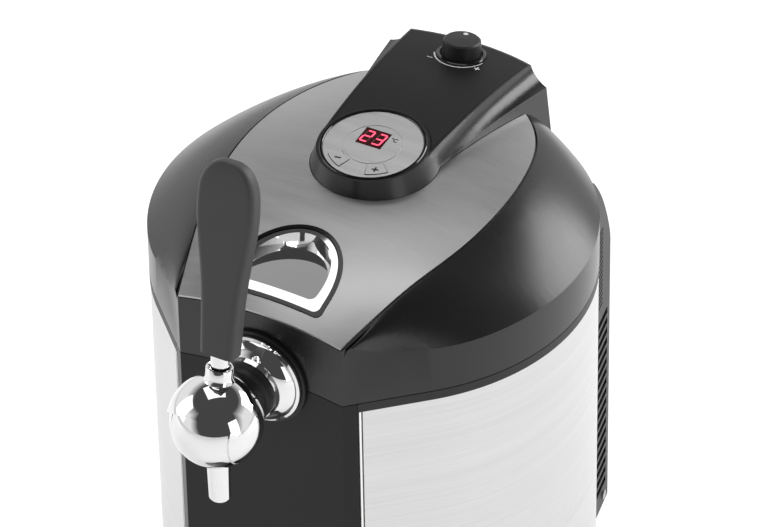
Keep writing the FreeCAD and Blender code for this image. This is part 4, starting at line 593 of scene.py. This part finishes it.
def face_matrix(along, rise, lean):
    """From a flat drawing to a face whose middle is at y = along, z = rise, in mm from the keg's axis."""
    place = Matrix.Translation((0, AXIS_Y + along * MM, SEAM_Z + rise * MM))
    return place @ Matrix.Rotation(math.radians(lean), 4, "X")


def settle(piece, face, body, finish):
    """Lay a flat-drawn piece on a face and complete it."""
    piece.data.transform(face)
    complete(piece, body, finish)


DISPLAY_FACE = face_matrix(1.4, 82.4, DISPLAY_LEAN)
KNOB_FACE = face_matrix(110, 80.75, KNOB_LEAN)
print("display leans", DISPLAY_LEAN, "degrees, knob leans", KNOB_LEAN, "degrees")

# %% [markdown]
# ## The digits
# A seven-segment digit is built from one bar with pointed ends. The bar is a six-sided disc whose right
# half is pulled away from its left half, then given its thickness. Seven turned copies make a digit.
# Lit bars glow; the others stay as a faint dark red shape, as on the real module.

# %% Finishes of the digits
def glowing(name, colour, strength):
    finish = Finish(name, roughness=0.3, emission_strength=strength)
    clouds = finish.noise(finish.place(), 700, 2)
    hot = tuple(min(1.0, part * 1.25) for part in colour[:3]) + (1.0,)
    finish.dress(base_color=finish.tint(clouds, colour, hot),
                 emission_color=finish.tint(clouds, colour, hot))
    return finish.material


LIT = glowing("digit_lit", (1.0, 0.07, 0.14, 1.0), 1.5)
UNLIT = moulded("digit_unlit", 0.09, 0.3, 0.02, 900, (1, 0.15, 0.15))
print("bars are", LIT.name, "or", UNLIT.name)

# %% One bar of a digit
BAR_LENGTH, BAR_WIDTH, BAR_DEPTH = 4.6 * MM, 0.95 * MM, 0.16 * MM
TIP_RADIUS, TIP_LENGTH = BAR_WIDTH * 0.58, BAR_WIDTH * 0.6
pattern = fresh(bpy.ops.mesh.primitive_circle_add, "bar_pattern", vertices=6, radius=TIP_RADIUS,
                fill_type="NGON", rotation=(0, 0, math.radians(30)))
for corner in pattern.data.vertices:
    corner.co.x += math.copysign(BAR_LENGTH / 2 - TIP_LENGTH, corner.co.x)
shape(pattern, thickness(BAR_DEPTH), TURN_OUT)
print("one bar has", len(pattern.data.vertices), "corners")

# %% Two digits of seven bars
SEGMENTS = {
    "a": (0, 1, 0), "b": (0.5, 0.5, 90), "c": (0.5, -0.5, 90), "d": (0, -1, 0),
    "e": (-0.5, -0.5, 90), "f": (-0.5, 0.5, 90), "g": (0, 0, 0),
}
LIT_SEGMENTS = {"2": "abged", "3": "abgcd"}
DIGIT_MIDDLES = {"2": -6.7, "3": 1.5}
DIGIT_ALONG, DIGIT_HEIGHT = 5.2, 0.1
SPREAD = BAR_LENGTH * 1.04
SLANT = Matrix(((1, 0.12, 0, 0), (0, 1, 0, 0), (0, 0, 1, 0), (0, 0, 0, 1)))
lit_count = 0
for number, (sign, middle) in enumerate(DIGIT_MIDDLES.items(), start=1):
    for segment, (across, up, angle) in SEGMENTS.items():
        bar = pattern.copy()
        bar.data = pattern.data.copy()
        bar.name = f"digit_{number}_{segment}"
        bpy.context.scene.collection.objects.link(bar)
        spot = Matrix.Translation((across * SPREAD, up * SPREAD, 0))
        bar.data.transform(SLANT @ spot @ Matrix.Rotation(math.radians(angle), 4, "Z"))
        shift(bar, middle, DIGIT_ALONG, DIGIT_HEIGHT)
        lit = segment in LIT_SEGMENTS[sign]
        lit_count += lit
        settle(bar, DISPLAY_FACE, "lid", LIT if lit else UNLIT)
bpy.data.objects.remove(pattern)
print(lit_count, "bars are lit")

# %% [markdown]
# ## Printed marks
# The degree sign, the minus and plus signs and the arc round the knob are printed. Print has a
# thickness of a few hundredths of a millimetre, so each mark is a thin plate that lies on its face. The
# panel round the knob is slightly crowned, so the marks on it are dropped on its surface, corner by
# corner, and their upper corners keep the ink's thickness above it.

# %% Inks and bars
INK_BLACK = moulded("ink_black", 0.012, 0.5, 0.05, 1500)
INK_WHITE = moulded("ink_white", 0.8, 0.5, 0.05, 1500)
INK_DEPTH = 0.06 * MM
ON_KEYS = {"height": 0.42, "face": DISPLAY_FACE, "slot": "silver_disc", "ink": INK_BLACK}
ON_PANEL = {"height": 0.05, "face": KNOB_FACE, "slot": "black_panel", "ink": INK_WHITE,
            "ground": "spine_panel"}
LAY_LIFT, CROSS_LIFT = 0.02, 0.01


def plate_bar(name, length, width, angle):
    """A thin printed bar with its corners cut, centred on the origin."""
    bar = fresh(bpy.ops.mesh.primitive_plane_add, name, size=1)
    bar.data.transform(Matrix.Diagonal((length * MM, width * MM, 1, 1)))
    cut_corners = {"offset": width * MM * 0.3, "offset_type": "OFFSET", "segments": 2,
                   "affect": "VERTICES"}
    shape(bar, (bpy.ops.mesh.bevel, cut_corners), thickness(INK_DEPTH), TURN_OUT)
    bar.data.transform(Matrix.Rotation(math.radians(angle), 4, "Z"))
    return bar


print("ink lies", INK_DEPTH / MM, "mm thick")


# %% Dropping a mark on a crowned surface
def upper_corners(piece):
    """Which corners of a flat-drawn mark are its upper ones."""
    top = max(corner.co.z for corner in piece.data.vertices)
    return {corner.index for corner in piece.data.vertices if corner.co.z > top - INK_DEPTH / 2}


def lay_on(piece, upper, node, lift):
    """Drop each corner of a placed mark on a node, keeping the mark's own thickness."""
    for corner in piece.data.vertices:
        start = corner.co + Vector((0, 0, 20 * MM))
        hit, spot, _, _ = nodes[node].ray_cast(start, Vector((0, 0, -1)))
        if hit:
            corner.co.z = spot.z + lift * MM + (INK_DEPTH if corner.index in upper else 0)


def round_spot(radius, angle):
    """A place on a face by radius and angle from the front."""
    return radius * math.sin(math.radians(angle)), -radius * math.cos(math.radians(angle))


print("the front of the knob's dial is at", round_spot(1, 0))


# %% Signs on the keys and round the knob
def printed_sign(name, body, spot, angles, length, width, height, face, slot, ink, ground=None):
    """A minus with one angle, or a plus with two, on one of the leaning faces."""
    for part, angle in enumerate(angles):
        bar = plate_bar(f"{name}_{part + 1}", length, width, angle)
        upper = upper_corners(bar)
        shift(bar, *spot, height + part * CROSS_LIFT)
        settle(bar, face, body, ink)
        if ground:
            lay_on(bar, upper, ground, LAY_LIFT + part * CROSS_LIFT)


KEY_RADIUS, DIAL_RADIUS = 23.4, 19.7
KEY_SIGN, DIAL_SIGN = {"length": 4.2, "width": 1.15}, {"length": 3.8, "width": 0.7}
printed_sign("minus_sign", "minus", round_spot(KEY_RADIUS, -34), (10,), **KEY_SIGN, **ON_KEYS)
printed_sign("plus_sign", "plus", round_spot(KEY_RADIUS, 32), (10, 100), **KEY_SIGN, **ON_KEYS)
printed_sign("lower_sign", "lid", round_spot(DIAL_RADIUS, -47), (0,), **DIAL_SIGN, **ON_PANEL)
printed_sign("higher_sign", "lid", round_spot(DIAL_RADIUS, 57), (0, 90), **DIAL_SIGN, **ON_PANEL)
print("signs printed")

# %% [markdown]
# ## The degree sign
# Letters come from a text object, because drawing them by hand would only copy a typeface badly. The
# text is given the ink's thickness and made a mesh before it gets its place.

# %% Print the degree sign
SIGN_SIZE, SIGN_WEIGHT = 4.2 * MM, 0.12 * MM
bpy.ops.object.select_all(action="DESELECT")
bpy.ops.object.text_add()
letters = bpy.context.object.data
letters.body = "°C"
letters.size = SIGN_SIZE
letters.extrude = INK_DEPTH / 2
letters.offset = SIGN_WEIGHT
letters.align_x = "CENTER"
letters.align_y = "CENTER"
bpy.ops.object.convert(target="MESH")
degree_sign = bpy.context.object
degree_sign.name = "degree_sign"
shift(degree_sign, 9.6, 8.4, INK_DEPTH / 2 / MM)
settle(degree_sign, DISPLAY_FACE, "lid", INK_BLACK)
print("degree sign has", len(degree_sign.data.polygons), "faces")

# %% [markdown]
# ## The arc round the knob
# The arc is thick at its left end and thin at its right. It is made by spinning a short edge about the
# knob's axis. That edge is what stays of a small plane when its right corners are deleted. The points of
# the strip are then set to a width that shrinks with their angle, and the strip gets its thickness.

# %% The strip of the arc
ARC_RADIUS, ARC_START, ARC_END = 16.3, -66, 80
WIDEST, NARROWING = 0.55, 0.3
arc = fresh(bpy.ops.mesh.primitive_plane_add, "pressure_arc", size=1 * MM)
bpy.ops.object.mode_set(mode="EDIT")
bpy.ops.mesh.select_all(action="DESELECT")
bpy.ops.object.mode_set(mode="OBJECT")
for corner in arc.data.vertices:
    corner.select = corner.co.x > 0
bpy.ops.object.mode_set(mode="EDIT")
bpy.ops.mesh.delete(type="VERT")
bpy.ops.object.mode_set(mode="OBJECT")
for corner in arc.data.vertices:
    corner.co = (0, corner.co.y - ARC_RADIUS * MM, 0)
arc.data.transform(Matrix.Rotation(math.radians(ARC_START), 4, "Z"))
shape(arc, spun(40, ARC_START - ARC_END), MERGE)
sweep = [math.degrees(math.atan2(corner.co.x, -corner.co.y)) for corner in arc.data.vertices]
print("arc runs from", round(min(sweep)), "to", round(max(sweep)), "degrees")

# %% The width and the thickness of the arc
for corner, angle in zip(arc.data.vertices, sweep):
    share = (angle - ARC_START) / (ARC_END - ARC_START)
    half = WIDEST - NARROWING * share
    reach = corner.co.length / MM
    corner.co *= (ARC_RADIUS + math.copysign(half, reach - ARC_RADIUS)) / reach
shape(arc, thickness(INK_DEPTH), TURN_OUT)
upper = upper_corners(arc)
shift(arc, 0, 0, ON_PANEL["height"])
settle(arc, KNOB_FACE, "lid", INK_WHITE)
lay_on(arc, upper, ON_PANEL["ground"], LAY_LIFT)
print("arc has", len(arc.data.polygons), "faces")

# %% [markdown]
# ## The dot on the knob
# The dot is a low round button of paint near the rim of the knob. It is a flat cylinder whose edges are
# bevelled, and it rides on the knob, so it shows how far the knob is turned.

# %% The paint dot
DOT_RADIUS, DOT_DEPTH, DOT_BEVEL = 1.5 * MM, 0.3 * MM, 0.1 * MM
dot = fresh(bpy.ops.mesh.primitive_cylinder_add, "knob_dot", vertices=32, radius=DOT_RADIUS,
            depth=DOT_DEPTH)
shape(dot, (bpy.ops.mesh.bevel, {"offset": DOT_BEVEL, "segments": 2, "affect": "EDGES"}))
shift(dot, -1.0, 6.3, 10.85)
settle(dot, KNOB_FACE, "knob", INK_WHITE)
print("dot has", len(dot.data.polygons), "faces")

# %% [markdown]
# ## The floor
# The dispenser stands on a plain pale floor. It is lit like paper, and where the camera, metal or glass
# look straight at it, a little glow is added, so that the picture's background is white while the floor
# keeps the soft shadow of the dispenser.

# %% Floor
PLAIN_LOOKS = ("Is Camera Ray", "Is Glossy Ray", "Is Transmission Ray")
FLOOR_SIZE, FLOOR_GLOW = 24, 0.45
floor = fresh(bpy.ops.mesh.primitive_plane_add, "studio_floor", size=FLOOR_SIZE)
paper = Finish("studio_paper", roughness=0.9)
paper.dress(base_color=paper.tint(paper.noise(paper.place(), 3, 2), shade(0.84), shade(0.86)))
camera_look, metal_look, glass_look = (
    paper.node("ShaderNodeLightPath", output=ray) for ray in PLAIN_LOOKS)
plain = Wire(paper, paper.shader.outputs[0])
glow = paper.node("ShaderNodeEmission", inputs={"Color": WHITE, "Strength": 1.0})
glowing_paper = paper.node("ShaderNodeAddShader", inputs={0: plain, 1: glow})
blend = paper.node("ShaderNodeMixShader", inputs={
    "Fac": (camera_look + metal_look + glass_look) * FLOOR_GLOW, 1: plain, 2: glowing_paper})
paper.feed(paper.tree.nodes["Material Output"].inputs["Surface"], blend)
floor.data.materials.append(paper.material)
print("floor is", FLOOR_SIZE, "m wide")

# %% [markdown]
# ## The world
# The world lights the dispenser with a plain level from all sides. The same looks as on the floor see
# white walls instead. Overhead and behind the camera the studio is dark, which draws the dark shapes in
# the chrome. How far a direction points up or back to the camera chooses between the two.

# %% World
WORLD_LIGHT = 0.36
TO_CAMERA = (0.42, -0.76, 0.5)
WALL_STOPS = ((0.42, shade(0.95)), (0.7, shade(0.07)))
world = bpy.data.worlds.new("studio")
bpy.context.scene.world = world
world.use_nodes = True
sky = Graph(world.node_tree)
heading = sky.node("ShaderNodeTexCoord", output="Generated")
upward = sky.node("ShaderNodeSeparateXYZ", inputs={0: heading}, output="Z")
backward = sky.node("ShaderNodeVectorMath", {"operation": "DOT_PRODUCT"},
                    {0: heading, 1: TO_CAMERA}, output="Value")
walls = sky.node("ShaderNodeValToRGB", {"stops": WALL_STOPS}, {0: upward.or_more(backward)})
studio = sky.node("ShaderNodeBackground", inputs={"Color": walls, "Strength": 1.0})
camera_look, metal_look, glass_look = (
    sky.node("ShaderNodeLightPath", output=ray) for ray in PLAIN_LOOKS)
light = sky.tree.nodes["Background"]
sky.feed(light.inputs["Color"], WHITE)
sky.feed(light.inputs["Strength"], WORLD_LIGHT)
switch = sky.node("ShaderNodeMixShader", inputs={
    "Fac": camera_look.or_more(metal_look).or_more(glass_look),
    1: Wire(sky, light.outputs[0]), 2: studio})
sky.feed(sky.tree.nodes["World Output"].inputs["Surface"], switch)
print("world lights with strength", WORLD_LIGHT)

# %% [markdown]
# ## The lamps
# A broad soft box stands over and behind the dispenser, as in a catalogue picture, and gives the lid its
# long highlight. Weaker ones above, at the left and at the front right fill in. The view transform is
# set to Standard, so that a colour renders about as it is written.

# %% Lamps
MIDDLE = Vector((0, 0.04, 0.3))


def soft_box(name, place, width, height, power):
    """A rectangular lamp that faces the dispenser."""
    data = bpy.data.lights.new(name, "AREA")
    data.shape = "RECTANGLE"
    data.size = width
    data.size_y = height
    data.energy = power
    lamp = bpy.data.objects.new(name, data)
    bpy.context.scene.collection.objects.link(lamp)
    aim = (MIDDLE - Vector(place)).to_track_quat("-Z", "Y").to_matrix().to_4x4()
    lamp.matrix_world = Matrix.Translation(place) @ aim


soft_box("rear_box", (1.5, 2.0, 1.45), 1.6, 1.3, 42)
soft_box("top_box", (-0.5, 0.6, 2.6), 1.6, 1.6, 12)
soft_box("left_box", (-2.2, -0.8, 1.2), 1.4, 1.8, 12)
soft_box("right_box", (2.4, -0.9, 0.9), 1.0, 1.6, 8)
bpy.context.scene.view_settings.view_transform = "Standard"
print("studio ready")
